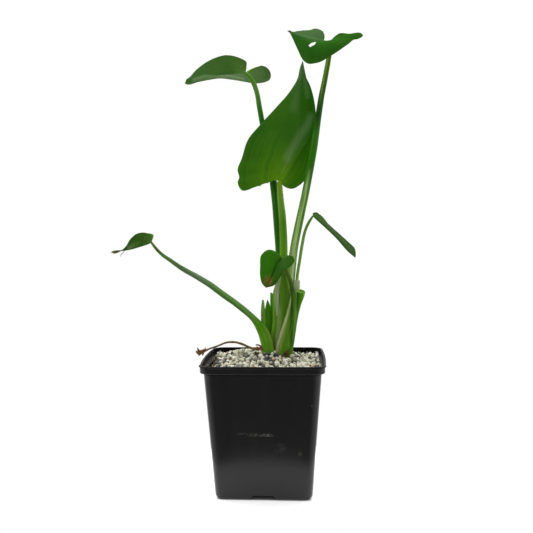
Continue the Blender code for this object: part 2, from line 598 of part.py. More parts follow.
def make_blade(name, blade):
    """Closed thin solid on both sides of a blade's middle surface."""
    sheet = blade_sheet(blade, BLADE_ROWS, BLADE_COLUMNS)
    normal = unit(np.cross(np.gradient(sheet, axis=0), np.gradient(sheet, axis=1))[1:-1])
    wide = sheet.shape[1]
    inner = BLADE_ROWS - 1
    start, tip = 0, 1
    points = [sheet[0, 0], sheet[-1, 0]]
    for offset in (BLADE_THICKNESS / 2, -BLADE_THICKNESS / 2):
        points.extend((sheet[1:-1] + normal * offset).reshape(-1, 3))

    def at(layer, i, j):
        return 2 + (layer * inner + i) * wide + j

    faces = []
    for layer in (0, 1):
        for j in range(wide - 1):
            faces.append((start, at(layer, 0, j), at(layer, 0, j + 1)))
            faces.append((tip, at(layer, inner - 1, j), at(layer, inner - 1, j + 1)))
            for i in range(inner - 1):
                near = (at(layer, i, j), at(layer, i, j + 1))
                far = (at(layer, i + 1, j + 1), at(layer, i + 1, j))
                faces.append(near + far)
    for j in (0, wide - 1):
        faces.append((start, at(0, 0, j), at(1, 0, j)))
        faces.append((tip, at(0, inner - 1, j), at(1, inner - 1, j)))
        for i in range(inner - 1):
            faces.append((at(0, i, j), at(0, i + 1, j), at(1, i + 1, j), at(1, i, j)))
    return solid(name, points, faces, "leaf", smooth_angle=80.0)


def hole_cutter():
    """Oval cutter for the slit in the tall right blade."""
    axis = unit(np.array(HOLE_AXIS))
    level = unit(np.cross(axis, (0.0, 0.0, 1.0)))
    rise = np.cross(level, axis)
    long_side = level * math.cos(HOLE_TILT) + rise * math.sin(HOLE_TILT)
    short_side = rise * math.cos(HOLE_TILT) - level * math.sin(HOLE_TILT)
    angles = 2 * math.pi * np.arange(HOLE_SIDES)[:, None] / HOLE_SIDES
    rim = HOLE_HALF[0] * np.cos(angles) * long_side + HOLE_HALF[1] * np.sin(angles) * short_side
    rings = [np.array(HOLE_CENTRE) + end * HOLE_REACH * axis + rim for end in (-1, 1)]
    return loft("blade_hole_cutter", rings, "leaf")


def make_blades():
    """The six leaf blades, one of them with a hole."""
    for name, blade in BLADES.items():
        made = make_blade(name, blade)
        if name == "tall_right_blade":
            cut(made, hole_cutter())


def clear_scene():
    """Start from an empty scene."""
    for old in list(bpy.data.objects):
        bpy.data.objects.remove(old, do_unlink=True)


def main():
    clear_scene()
    make_pot()
    make_soil()
    make_gravel()
    make_crown()
    for name, stations, look, rings, sides in STEMS:
        make_stem(name, stations, look, rings, sides)
    make_withered_end()
    make_blades()


main()
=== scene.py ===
"""Looks of the potted pickerelweed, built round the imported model.

Shapes are worked out in millimetres and turned into metres when a mesh is made. The frame is the
part's own: the origin is the middle of the pot's underside, +Z is up, and the front faces -Y.
"""
import json
import math

import bmesh
import bpy
import numpy as np
from mathutils import Matrix, Vector, noise
from mathutils.bvhtree import BVHTree

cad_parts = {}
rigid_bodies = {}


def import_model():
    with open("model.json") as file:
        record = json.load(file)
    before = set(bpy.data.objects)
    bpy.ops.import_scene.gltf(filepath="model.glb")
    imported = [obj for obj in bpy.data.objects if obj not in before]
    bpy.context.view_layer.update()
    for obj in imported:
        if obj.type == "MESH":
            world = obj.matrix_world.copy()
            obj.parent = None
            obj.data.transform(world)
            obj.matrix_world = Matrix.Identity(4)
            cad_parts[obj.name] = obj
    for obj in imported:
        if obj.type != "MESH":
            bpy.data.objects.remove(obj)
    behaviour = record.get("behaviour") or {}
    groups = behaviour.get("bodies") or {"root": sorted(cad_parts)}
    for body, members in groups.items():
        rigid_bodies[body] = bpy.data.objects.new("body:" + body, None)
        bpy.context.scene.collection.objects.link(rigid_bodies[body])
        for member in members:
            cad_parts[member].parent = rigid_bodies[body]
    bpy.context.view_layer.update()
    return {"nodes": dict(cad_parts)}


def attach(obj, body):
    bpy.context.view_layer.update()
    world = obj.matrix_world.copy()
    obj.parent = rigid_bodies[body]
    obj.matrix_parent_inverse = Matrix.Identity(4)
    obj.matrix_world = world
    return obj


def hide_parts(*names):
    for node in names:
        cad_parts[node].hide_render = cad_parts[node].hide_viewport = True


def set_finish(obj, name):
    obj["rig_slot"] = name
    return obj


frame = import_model()

MM = 0.001
BACK = np.array([0.0, 1.0, 0.0])

# Camera of the photograph, and the studio
CAMERA_PLACE = (28.7, -511.0, 207.2)
CAMERA_YAW = 2.99
CAMERA_PITCH = -0.13
CAMERA_ROLL = -0.416
LENS = 36.0
SENSOR = 36.0
FLOOR_RADIUS = 0.112        # in metres
FLOOR_DROP = 0.05
KEY_FROM = (-0.3, 0.1, 0.95)
KEY_STRENGTH = 0.5
KEY_SPREAD = math.radians(60.0)
WHITE = (1.0, 1.0, 1.0)
# Each light of the surroundings: its middle, then the cosines and strengths between which it grows
WORLD_LIGHT = [((0.0, 1.0, 0.0), -0.85, -0.2, 0.26, 0.85), ((-0.15, 0.45, 0.88), 0.45, 0.95, 0.0, 1.6)]

# Pot
POT_HEIGHT = 120.0
WALL = 1.2
BODY_HALF_TOP = 52.0
BODY_HALF_FOOT = 43.6
BODY_CORNER = 9.0
FOOT_ROUND = 3.0
COLLAR_HALF = 54.9
COLLAR_HEIGHT = 7.0
COLLAR_FOOT = POT_HEIGHT - COLLAR_HEIGHT
COLLAR_EDGE = 1.0
BEAD_HALF = 55.8
BEAD_HEIGHT = 1.6
CHANNEL_HEIGHT = 4.4
CHANNEL_HALF_TOP = 9.0
CHANNEL_HALF_FOOT = 12.5
POT_FLOOR = CHANNEL_HEIGHT + WALL
CENTRE_PAD_HALF = 13.0
DRAIN_RADIUS = 4.0
DRAIN_OFFSET = 26.0
THROUGH = 1.0
CORNER_STEPS = 9
SIDE_STEPS = 14
WALL_WAVE = 0.15            # how far the thin walls wander in and out
WAVE_SIZE = 30.0
LEFT_BOW = 2.9              # how far the rim's sides bulge, most of all at BOW_MIDDLE behind the front
RIGHT_BOW = 2.0
END_BOW = 1.0
BOW_MIDDLE = 15.0
BOW_HALF = 55.0

# Grit
SOIL_TOP = 104.0
GRIT_TOP = 114.4
GRIT_BUMP = 1.2
GRIT_BUMP_SIZE = 5.0
CROWN_CENTRE = (13.5, 14.0)
# Mounds of grit: middle, height and spread
MOUNDS = [
    (CROWN_CENTRE, 3.5, 26.0), ((3.0, 5.0), 7.0, 14.0), ((-20.0, 36.0), 5.0, 20.0), ((0.0, 62.0), 2.4, 50.0),
]
GAP = 0.3
BED_DEPTH = 3.6             # how far the bed lies below the tops of the stones
BED_STEPS = 26
BED_HALF = 50.6             # half width of the grit inside the pot's body
SHELF_TOP = COLLAR_FOOT + WALL
SHELF_STONE = 1.8           # largest stone on the collar's shelf
STONE_REACH = COLLAR_HALF - WALL - 0.2
LEFT_GRIT = -52.2           # where the stones end on the left, 32 mm behind the middle
STONE_COUNT = 900
STONE_TRIES = 60 * STONE_COUNT
# Layers of stones: smallest and largest radius, how deep they lie, and how close to each other
LOWER_STONES = ((1.2, 2.2), 2.2, 0.8)
UPPER_STONES = ((1.6, 3.4), 0.0, 0.88)
# painted shade: the lower stones are moved towards slate so the gaps between the top stones look shaded
GAP_PAINTED_SHADE = 0.45          # how dark the stones in the gaps are
# Ranges on the colour ramp of cream, grey, slate and orange stones, and the share of each
STONE_KINDS = [(0.55, 0.86), (0.22, 0.45), (0.0, 0.14), (0.92, 1.0)]
STONE_SHARES = [0.54, 0.26, 0.17, 0.03]
CRUMB_COUNT = 220
CRUMB_FIELD = ((-52.5, -50.0), (-45.0, 46.0))
CRUMB_RADIUS = (0.35, 0.8)
CRUMB_SHADES = (0.02, 0.08, 0.16, 0.97)

# Blades
BLADE_ROWS = 84
BLADE_COLUMNS = 22
BLADE_THICKNESS = 0.5
VEIN_SPREAD = 1.7
CREASE_SHARE = 0.4
CREASE_SOFTENING = 6
RIPPLE = 0.06
UPPER_SIDE = np.array([0.0, -0.6, 0.8])     # where a blade's upper side looks
HOLE_CENTRE = (46.5, -14.5, 411.7)
HOLE_AXIS = (0.04, 0.92, 0.38)
HOLE_HALF = (3.9, 1.25)
HOLE_TILT = math.radians(25.0)
HOLE_REACH = 9.0
HOLE_SIDES = 28

# Torn stem ends, and strands of the dry bits
TORN_RINGS = 5
STRAND_RINGS = 26
STRAND_SIDES = 12


# Shapes

def unit(vectors):
    """Vectors of length one."""
    return vectors / np.maximum(np.linalg.norm(vectors, axis=-1, keepdims=True), 1e-12)


def spline(points, shares):
    """Rows on the smooth curve through the points, at the given shares of its length."""
    knots = np.asarray(points, float)
    gaps = np.linalg.norm(np.diff(knots[:, :3], axis=0), axis=1)
    at = np.concatenate(([0.0], np.cumsum(gaps)))
    slope = np.gradient(knots, at, axis=0)
    where = np.asarray(shares) * at[-1]
    k = np.clip(np.searchsorted(at, where, side="right") - 1, 0, len(at) - 2)
    span = (at[k + 1] - at[k])[:, None]
    s = (where - at[k])[:, None] / span
    return (knots[k] * (1 + 2 * s) * (1 - s) ** 2 + knots[k + 1] * s * s * (3 - 2 * s)
            + slope[k] * span * s * (1 - s) ** 2 - slope[k + 1] * span * s * s * (1 - s))


def lumps(points, size, seed=0.0):
    """Smooth noise from -1 to 1 at each point, with lumps of about that size."""
    shift = Vector((seed, 2.3 * seed, -1.7 * seed))
    return np.array([noise.noise(Vector(p) / size + shift) for p in points])


def loft_faces(count, sides, first=0):
    """Quads between rings that follow each other, and a face over each end."""
    faces = []
    for low in range(first, first + (count - 1) * sides, sides):
        for k in range(sides):
            after = (k + 1) % sides
            faces.append((low + k, low + after, low + sides + after, low + sides + k))
    faces.append(tuple(first + k for k in range(sides - 1, -1, -1)))
    faces.append(tuple(first + (count - 1) * sides + k for k in range(sides)))
    return faces


def outward_mesh(name, points, faces):
    """Mesh from points in millimetres, with its faces turned outwards."""
    mesh = bpy.data.meshes.new(name)
    mesh.from_pydata([tuple(p) for p in np.asarray(points, float) * MM], [], faces)
    build = bmesh.new()
    build.from_mesh(mesh)
    bmesh.ops.recalc_face_normals(build, faces=build.faces)
    build.to_mesh(mesh)
    build.free()
    return mesh


def in_scene(name, data):
    """New object in the scene."""
    made = bpy.data.objects.new(name, data)
    bpy.context.scene.collection.objects.link(made)
    return made


def piece(name, points, faces, look, slot, smooth_angle, **marks):
    """Piece that rides the body. Each mark is a value or a triple for every point."""
    mesh = outward_mesh(name, points, faces)
    for mark, values in marks.items():
        values = np.asarray(values, np.float32)
        kind, field = ("FLOAT", "value") if values.ndim == 1 else ("FLOAT_VECTOR", "vector")
        mesh.attributes.new(mark, kind, "POINT").data.foreach_set(field, values.ravel())
    mesh.materials.append(look)
    mesh.shade_smooth()
    mesh.set_sharp_from_angle(angle=math.radians(smooth_angle))
    made = in_scene(name, mesh)
    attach(made, "root")
    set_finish(made, slot)
    return made


def cut_out(target, points, faces):
    """Take the cutters' shape out of a piece for good."""
    cutter = in_scene("cutter", outward_mesh("cutter", points, faces))
    step = target.modifiers.new("cut", "BOOLEAN")
    step.operation = "DIFFERENCE"
    step.object = cutter
    bpy.context.view_layer.update()
    depsgraph = bpy.context.evaluated_depsgraph_get()
    made = bpy.data.meshes.new_from_object(target.evaluated_get(depsgraph), depsgraph=depsgraph)
    target.modifiers.clear()
    target.data = made
    bpy.data.objects.remove(cutter, do_unlink=True)


def feed(socket, value):
    """Give a node's input another node's output, a colour or a number."""
    if isinstance(value, bpy.types.NodeSocket):
        socket.id_data.links.new(value, socket)
    elif isinstance(value, tuple) and len(value) == 3 and socket.type == "RGBA":
        socket.default_value = (*value, 1.0)
    else:
        socket.default_value = value


def add_node(tree, kind, inputs=(), **settings):
    """New node with its settings and inputs."""
    made = tree.nodes.new(kind)
    for key, value in settings.items():
        setattr(made, key, value)
    for key, value in dict(inputs).items():
        feed(made.inputs[key], value)
    return made


# Materials

class Look:
    """Principled material with short calls for the nodes that feed it."""

    def __init__(self, name, roughness=0.5, specular=0.5):
        self.material = bpy.data.materials.new(name)
        self.material.use_nodes = True
        self.tree = self.material.node_tree
        self.shader = self.tree.nodes["Principled BSDF"]
        self.set("Roughness", roughness)
        self.set("Specular IOR Level", specular)

    def set(self, socket, value):
        """Give one of the shader's sockets a number, a colour or a link."""
        feed(self.shader.inputs[socket], value)

    def node(self, kind, inputs=(), **settings):
        """New node in the material."""
        return add_node(self.tree, kind, inputs, **settings)

    def mark(self, name, output="Vector"):
        """A mesh mark: its vector, or its number as Fac."""
        return self.node("ShaderNodeAttribute", attribute_name=name).outputs[output]

    def place(self):
        """Place on the object, in metres."""
        return self.node("ShaderNodeTexCoord").outputs["Object"]

    def split(self, vector):
        """Three numbers of a vector."""
        return self.node("ShaderNodeSeparateXYZ", {"Vector": vector}).outputs[:3]

    def noise(self, where, scale, detail=2.0, roughness=0.5, stretch=None):
        """Noise from 0 to 1. Stretch multiplies the place axis by axis first."""
        if stretch:
            where = self.node("ShaderNodeMapping", {"Vector": where, "Scale": stretch}).outputs["Vector"]
        inputs = {"Vector": where, "Scale": scale, "Detail": detail, "Roughness": roughness}
        return self.node("ShaderNodeTexNoise", inputs).outputs["Fac"]

    def math(self, operation, a, b=0.0):
        """One operation on one or two values."""
        return self.node("ShaderNodeMath", {0: a, 1: b}, operation=operation).outputs[0]

    def times(self, first, *others):
        """Product of several values."""
        for other in others:
            first = self.math("MULTIPLY", first, other)
        return first

    def off(self, value, middle=0.0):
        """How far a value is from its middle."""
        return self.math("ABSOLUTE", self.math("SUBTRACT", value, middle))

    def span(self, value, low, high, start=0.0, end=1.0):
        """Value moved from one range to another, and kept inside it."""
        inputs = {"Value": value, "From Min": low, "From Max": high, "To Min": start, "To Max": end}
        return self.node("ShaderNodeMapRange", inputs).outputs["Result"]

    def blend(self, share, first, second, how="MIX"):
        """Colour between two others."""
        inputs = {0: share, 6: first, 7: second}
        return self.node("ShaderNodeMix", inputs, data_type="RGBA", blend_type=how).outputs[2]

    def tint(self, colour, other, value, low, high, strength=1.0):
        """Colour that moves towards another as a value goes from low to high."""
        return self.blend(self.span(value, low, high, 0.0, strength), colour, other)

    def ramp(self, value, stops):
        """Colour that follows a value through a list of (place, colour)."""
        made = self.node("ShaderNodeValToRGB", {"Fac": value})
        band = made.color_ramp.elements
        while len(band) < len(stops):
            band.new(0.5)
        for element, (place, colour) in zip(band, stops):
            element.position = place
            element.color = (*colour, 1.0)
        return made.outputs["Color"]

    def bump(self, height, depth, strength=1.0):
        """Relief of that depth in millimetres."""
        inputs = {"Height": height, "Distance": depth * MM, "Strength": strength}
        self.set("Normal", self.node("ShaderNodeBump", inputs).outputs["Normal"])


def leaf_look(name, deep, light, fan, far, gloss=0.45, specular=0.1, relief=0.1):
    """One face of a blade: faint streaks from the stem's end to the tip, and a brighter fan near its start.

    The fan is its colour and its reach, and far is a colour painted over the right half for the sheen and
    shade that fall on it, and its strength.
    """
    look = Look(name, specular=specular)
    leaf = look.mark("leaf")
    across, along, _ = look.split(leaf)
    out = look.off(across)
    streaks = look.noise(leaf, 1.0, 3.0, stretch=(15.0, 1.3, 1.0))
    fine = look.noise(leaf, 1.0, 2.0, stretch=(62.0, 1.6, 1.0))
    fan, fan_reach = fan
    colour = look.tint(deep, light, look.noise(look.place(), 30.0, 3.0), 0.32, 0.68)
    colour = look.tint(colour, light, streaks, 0.4, 0.7, 0.35)
    colour = look.tint(colour, deep, streaks, 0.45, 0.28, 0.3)
    # painted light: the right half is tinted to stand for the sheen and shade that fall on it
    colour = look.tint(colour, far[0], across, -0.05, 0.2, far[1])
    near = look.times(look.span(along, 0.0, fan_reach, 1.0, 0.0), look.span(out, 0.05, 0.9, 1.0, 0.2),
                      look.span(streaks, 0.2, 0.7, 0.6, 1.3))
    colour = look.tint(colour, fan, near, 0.02, 0.8, 0.9)
    colour = look.tint(colour, fan, fine, 0.5, 0.75, 0.22)
    rib = look.times(look.span(out, 0.008, 0.03, 1.0, 0.0), look.span(along, 0.2, 0.9, 0.4, 0.0))
    colour = look.blend(rib, colour, fan)
    colour = look.tint(colour, fan, out, 0.975, 0.997, 0.35)
    # painted highlight: pale bands laid along given lines where sheen falls on the blade
    bloom = look.times(look.mark("bloom", "Fac"), look.span(fine, 0.3, 0.7, 0.6, 1.2))
    colour = look.blend(bloom, colour, PAINTED_HIGHLIGHT_COLOUR)
    ragged = look.span(look.noise(look.place(), 420.0, 4.0), 0.0, 1.0, -0.22, 0.22)
    stain = look.math("ADD", look.mark("blotch", "Fac"), ragged)
    colour = look.tint(colour, TAN_SPOT, stain, 0.25, 0.6)
    colour = look.tint(colour, DARK_SPOT, stain, 0.7, 0.95)
    look.set("Base Color", colour)
    look.set("Roughness", look.span(streaks, 0.3, 0.7, gloss + 0.05, gloss - 0.04))
    look.bump(look.math("ADD", fine, look.times(streaks, 3.0)), relief, 0.3)
    return look.material


def stem_look(name, course, bands=()):
    """Stem whose colour follows its course from foot to top, with fine stripes and bands along its front.

    A band is where it starts and ends along the stem, how far right of the middle it lies at
    both ends, its half width, its colour and its strength.
    """
    look = Look(name, specular=0.12)
    grain = look.mark("grain")
    share, right, depth = look.split(look.mark("run"))
    fine = look.noise(grain, 1100.0, 2.0, stretch=(1.0, 1.0, 0.03))
    broad = look.noise(grain, 385.0, 2.0, stretch=(1.0, 1.0, 0.025))
    colour = look.ramp(share, course)
    for start, end, side_start, side_end, half, band_colour, strength in bands:
        drift = look.math("ADD", look.span(share, start, end, side_start, side_end),
                          look.span(broad, 0.3, 0.7, -0.3 * half, 0.3 * half))
        here = look.times(
            look.span(look.off(right, drift), 0.35 * half, half, strength, 0.0),
            look.span(share, start - BAND_FADE, start + BAND_FADE),
            look.span(share, end + BAND_FADE, end - BAND_FADE),
            look.span(depth, 0.3, 0.0), look.span(fine, 0.34, 0.62, 0.25, 1.15))
        colour = look.blend(here, colour, band_colour)
    shade = look.tint((0.78, 0.80, 0.74), (1.2, 1.16, 1.22), broad, 0.35, 0.65)
    colour = look.blend(1.0, colour, shade, "MULTIPLY")
    colour = look.tint(colour, (0.30, 0.42, 0.16), fine, 0.5, 0.75, 0.16)
    colour = look.blend(look.mark("cut", "Fac"), colour, CUT_FACE)
    look.set("Base Color", colour)
    look.set("Roughness", look.span(broad, 0.3, 0.7, 0.41, 0.51))
    look.bump(look.math("ADD", fine, look.times(broad, 1.5)), 0.07, 0.3)
    return look.material


def membrane_look(name, body, veins, edge):
    """Thin papery sheath: pale, with greener lines and a dry edge."""
    look = Look(name, specular=0.15)
    lines = look.noise(look.mark("grain"), 900.0, 2.0, stretch=(1.0, 1.0, 0.04))
    colour = look.tint(veins, body, lines, 0.35, 0.7)
    colour = look.tint(colour, edge, look.noise(look.place(), 300.0, 3.0), 0.55, 0.8, 0.6)
    colour = look.tint(colour, edge, look.split(look.mark("run"))[0], 0.82, 1.0, 0.7)
    look.set("Base Color", colour)
    look.bump(lines, 0.15, 0.5)
    return look.material


def dry_look(name, light, dark):
    """Dead brown tissue with long wrinkles and dark blotches."""
    look = Look(name, roughness=0.75, specular=0.3)
    wrinkles = look.noise(look.mark("grain"), 2200.0, 3.0, stretch=(1.0, 1.0, 0.1))
    colour = look.tint(dark, light, wrinkles, 0.35, 0.7)
    look.set("Base Color", look.tint(colour, dark, look.noise(look.place(), 260.0, 3.0), 0.5, 0.68, 0.8))
    look.bump(wrinkles, 0.25, 0.8)
    return look.material


def stone_look():
    """Grit: each stone has its own shade, from slate to cream and orange, with speckles and dust."""
    look = Look("grit", roughness=0.8, specular=0.25)
    speck = look.noise(look.place(), 1500.0, 3.0, 0.7)
    colour = look.ramp(look.mark("shade", "Fac"), STONE_COLOURS)
    colour = look.tint(colour, (0.12, 0.12, 0.10), speck, 0.55, 0.75, 0.3)
    colour = look.tint(colour, (0.75, 0.74, 0.66), speck, 0.42, 0.25, 0.4)
    colour = look.tint(colour, (0.30, 0.30, 0.22), look.noise(look.place(), 500.0, 2.0), 0.45, 0.7, 0.18)
    look.set("Base Color", colour)
    look.bump(speck, 0.25, 0.8)
    return look.material


def bed_look(name, first, second):
    """Dark mix between and under the stones."""
    look = Look(name, roughness=0.85, specular=0.3)
    crumbs = look.noise(look.place(), 700.0, 4.0, 0.7)
    look.set("Base Color", look.tint(first, second, crumbs, 0.35, 0.7))
    look.bump(crumbs, 0.8, 1.0)
    return look.material


def pot_look():
    """Black moulded plastic: satin, faintly streaked, with scuffs and dust on the front."""
    look = Look("black_plastic", specular=0.36)
    place = look.place()
    streak = look.noise(place, 90.0, 3.0, stretch=(1.0, 1.0, 0.12))
    x, y, z = look.split(place)
    colour = look.tint((0.007, 0.007, 0.007), (0.010, 0.010, 0.0095), streak, 0.35, 0.7)
    colour = look.tint(colour, (0.016, 0.015, 0.013), look.noise(place, 240.0, 4.0, 0.7), 0.62, 0.85, 0.25)
    front = look.span(y, -0.040, -0.043)
    broken = look.span(look.noise(place, 900.0, 3.0, stretch=(0.6, 1.0, 1.6)), 0.46, 0.62)
    for centre, half, strength, worn_colour in SCUFFS:
        worn = [look.span(look.off(axis, middle * MM), 0.3 * reach * MM, reach * MM, 1.0, 0.0)
                for axis, middle, reach in ((x, centre[0], half[0]), (z, centre[1], half[1]))]
        colour = look.blend(look.times(*worn, broken, front, strength), colour, worn_colour)
    look.set("Base Color", colour)
    look.set("Roughness", look.span(streak, 0.3, 0.7, 0.20, 0.26))
    look.bump(look.math("ADD", look.noise(place, 2600.0, 2.0), look.times(streak, 2.0)), 0.02, 0.2)
    return look.material


def inside_look():
    """Dull black of the pot's lip and inside, also laid under the collar as painted shade."""
    look = Look("black_plastic_inside", roughness=0.55, specular=0.1)
    smears = look.noise(look.place(), 300.0, 4.0, 0.7)
    look.set("Base Color", look.tint((0.004, 0.004, 0.004), (0.06, 0.05, 0.035), smears, 0.55, 0.8, 0.4))
    return look.material


# colour of the painted highlights on the blades
PAINTED_HIGHLIGHT_COLOUR = (0.30, 0.48, 0.20)
TAN_SPOT = (0.24, 0.18, 0.03)
DARK_SPOT = (0.012, 0.008, 0.006)
CUT_FACE = (0.24, 0.46, 0.05)
BAND_FADE = 0.03            # share of a stem's length over which a band fades in

# Stones from slate over cream to orange
STONE_COLOURS = [
    (0.0, (0.042, 0.049, 0.055)), (0.12, (0.11, 0.12, 0.118)), (0.2, (0.18, 0.19, 0.16)),
    (0.4, (0.36, 0.36, 0.28)), (0.62, (0.66, 0.63, 0.48)), (0.86, (0.90, 0.87, 0.74)),
    (0.93, (0.66, 0.46, 0.28)), (1.0, (0.46, 0.30, 0.17)),
]

# Scuffs on the pot's front: middle (x, z), half size in millimetres, strength and colour
SCUFFS = [
    ((-17.0, 60.2), (9.0, 1.6), 0.5, (0.10, 0.10, 0.095)),
    ((-1.5, 59.4), (13.0, 1.8), 0.9, (0.16, 0.155, 0.14)),
    ((3.5, 58.9), (6.0, 1.3), 1.0, (0.30, 0.29, 0.27)),
    ((15.5, 47.5), (6.5, 5.5), 0.45, (0.10, 0.10, 0.095)),
    ((32.5, 42.9), (2.2, 2.6), 0.7, (0.12, 0.11, 0.09)),
    ((43.1, 85.5), (1.2, 1.4), 0.6, (0.12, 0.11, 0.09)),
    ((-38.0, 119.8), (19.0, 0.7), 0.9, (0.20, 0.16, 0.08)),
]


# Pot

def bowed(x, y, z):
    """Point of the square pot moved outwards with its thin sides, which bulge more towards the rim."""
    rise = (z / POT_HEIGHT) ** 2
    side = max(1 - ((y - BOW_MIDDLE) / BOW_HALF) ** 2, 0.0) * (RIGHT_BOW if x > 0 else LEFT_BOW)
    end = max(1 - (x / BOW_HALF) ** 2, 0.0) * END_BOW
    return x * (1 + rise * side / BEAD_HALF), y * (1 + rise * end / BEAD_HALF), z


def turned(points, quarter_turns):
    """Points turned about the pot's axis by quarter turns."""
    for _ in range(quarter_turns):
        points = [(-y, x, z) for x, y, z in points]
    return points


def square_ring(half, z, wave=0.0):
    """Points round a square with rounded corners and bowed sides at one height."""
    reach = half - BODY_CORNER
    quarter = arc((reach, reach), BODY_CORNER, 0.0, 90.0, CORNER_STEPS + 1)
    quarter += [(reach * (1 - 2 * k / SIDE_STEPS), half) for k in range(1, SIDE_STEPS)]
    ring = []
    for turn in range(4):
        for x, y in quarter:
            if wave and y == half:
                y += wave * noise.noise(Vector((x, 7.0 * WAVE_SIZE * turn, z)) / WAVE_SIZE)
            ring += turned([(x, y, z)], turn)
    return [bowed(*point) for point in ring]


def body_half(z):
    """Half width of the pot's tapered body, outside, at a height."""
    share = (z - FOOT_ROUND) / (COLLAR_FOOT - FOOT_ROUND)
    return BODY_HALF_FOOT + share * (BODY_HALF_TOP - BODY_HALF_FOOT)


def arc(centre, radius, start, end, steps):
    """Points on an arc, its angles in degrees."""
    angles = np.radians(np.linspace(start, end, steps))
    return [(centre[0] + radius * math.cos(a), centre[1] + radius * math.sin(a)) for a in angles]


def channel_rings():
    """Cutter for the notch in a lower edge."""
    section = [
        (-CHANNEL_HALF_FOOT, -THROUGH), (CHANNEL_HALF_FOOT, -THROUGH),
        (CHANNEL_HALF_TOP, CHANNEL_HEIGHT), (-CHANNEL_HALF_TOP, CHANNEL_HEIGHT),
    ]
    return [[(side, -reach, z) for side, z in section] for reach in (CENTRE_PAD_HALF, BODY_HALF_TOP)]


def drain_rings():
    """Cutter for a round drain hole."""
    angles = [2 * math.pi * k / 24 for k in range(24)]
    ring = [(DRAIN_RADIUS * math.cos(a), DRAIN_RADIUS * math.sin(a) - DRAIN_OFFSET) for a in angles]
    return [[(x, y, z) for x, y in ring] for z in (CHANNEL_HEIGHT - THROUGH, POT_FLOOR + THROUGH)]


def pocket_rings():
    """Cutter for the hollow in a foot."""
    near = CHANNEL_HALF_FOOT + WALL
    far = BODY_HALF_FOOT - WALL - THROUGH
    slant = far - 0.7 * BODY_CORNER
    ring = [(near, near), (far, near), (far, slant), (slant, far), (near, far)]
    return [[(x, y, z) for x, y in ring] for z in (WALL, POT_FLOOR + THROUGH)]


def pot_profile():
    """Half width and height along the pot's section: up its outside, over the lip and down its inside.

    The two numbers with it are where the collar's underside and the lip start.
    """
    shelf = COLLAR_FOOT + WALL
    inside, inner_collar = body_half(COLLAR_FOOT) - WALL, COLLAR_HALF - WALL
    profile = [(BODY_HALF_FOOT - FOOT_ROUND + 0.9, 0.0)]
    profile += arc((BODY_HALF_FOOT - FOOT_ROUND, FOOT_ROUND), FOOT_ROUND, -70.0, 0.0, 6)
    profile += [(body_half(z), z) for z in np.linspace(8.0, COLLAR_FOOT - 1.4, 16)]
    overhang = len(profile)
    profile += [(body_half(COLLAR_FOOT) + 0.3, COLLAR_FOOT)]
    profile += arc((COLLAR_HALF - COLLAR_EDGE, COLLAR_FOOT + COLLAR_EDGE), COLLAR_EDGE, -90.0, 0.0, 5)
    profile += [(COLLAR_HALF, POT_HEIGHT - BEAD_HEIGHT - 0.3), (COLLAR_HALF + 0.25, POT_HEIGHT - BEAD_HEIGHT)]
    lip = len(profile)
    profile += arc((BEAD_HALF - 0.5, POT_HEIGHT - 0.75), 0.5, -60.0, 60.0, 5)
    profile += [(BEAD_HALF - 0.7, POT_HEIGHT), (inner_collar + 0.3, POT_HEIGHT)]
    profile += [(inner_collar, POT_HEIGHT - 0.3), (inner_collar, shelf + 0.4)]
    profile += [(inner_collar - 0.4, shelf), (inside + 0.4, shelf), (inside, shelf - 0.4)]
    profile += [(body_half(z) - WALL, z) for z in (SOIL_TOP, 80.0, 55.0, 30.0, POT_FLOOR)]
    return profile, overhang, lip


def make_pot():
    """Pot with soft edges, a stepped collar, a lip, and its raised floor. Its thin outer walls wander."""
    profile, overhang, lip = pot_profile()
    rings = []
    for half, z in profile:
        outer_wall = 6.0 < z < COLLAR_FOOT and half > body_half(COLLAR_FOOT) - WALL
        rings.append(square_ring(half, z, WALL_WAVE if outer_wall else 0.0))
    sides = len(rings[0])
    faces = loft_faces(len(rings), sides)
    pot = piece("pot_shell", np.vstack(rings), faces, pot_look(), "black_plastic", 32.0)
    pot.data.materials.append(inside_look())
    dull_and_painted_shade = np.zeros(len(faces), np.int32)
    dull_and_painted_shade[(lip - 1) * sides:-2] = 1
    # painted shade: the collar's underside and the top of the wall below it take the darker matte look, a
    # dark line where shade falls
    dull_and_painted_shade[(overhang - 1) * sides:(overhang + 1) * sides] = 1
    dull_and_painted_shade[-1] = 1
    pot.data.polygons.foreach_set("material_index", dull_and_painted_shade)
    for rings_of in (channel_rings, drain_rings, pocket_rings):
        points, faces = [], []
        for turn in range(4):
            rings = rings_of()
            faces += loft_faces(len(rings), len(rings[0]), len(points))
            for ring in rings:
                points += turned(ring, turn)
        cut_out(pot, points, faces)
    for face in pot.data.polygons:
        middle = face.center / MM
        if middle.z < POT_FLOOR and max(abs(middle.x), abs(middle.y)) < BODY_HALF_FOOT - FOOT_ROUND - 0.1:
            face.material_index = 1
    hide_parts("pot")


# Stems. A station is a point of the stem's middle line, then its half width and half depth.

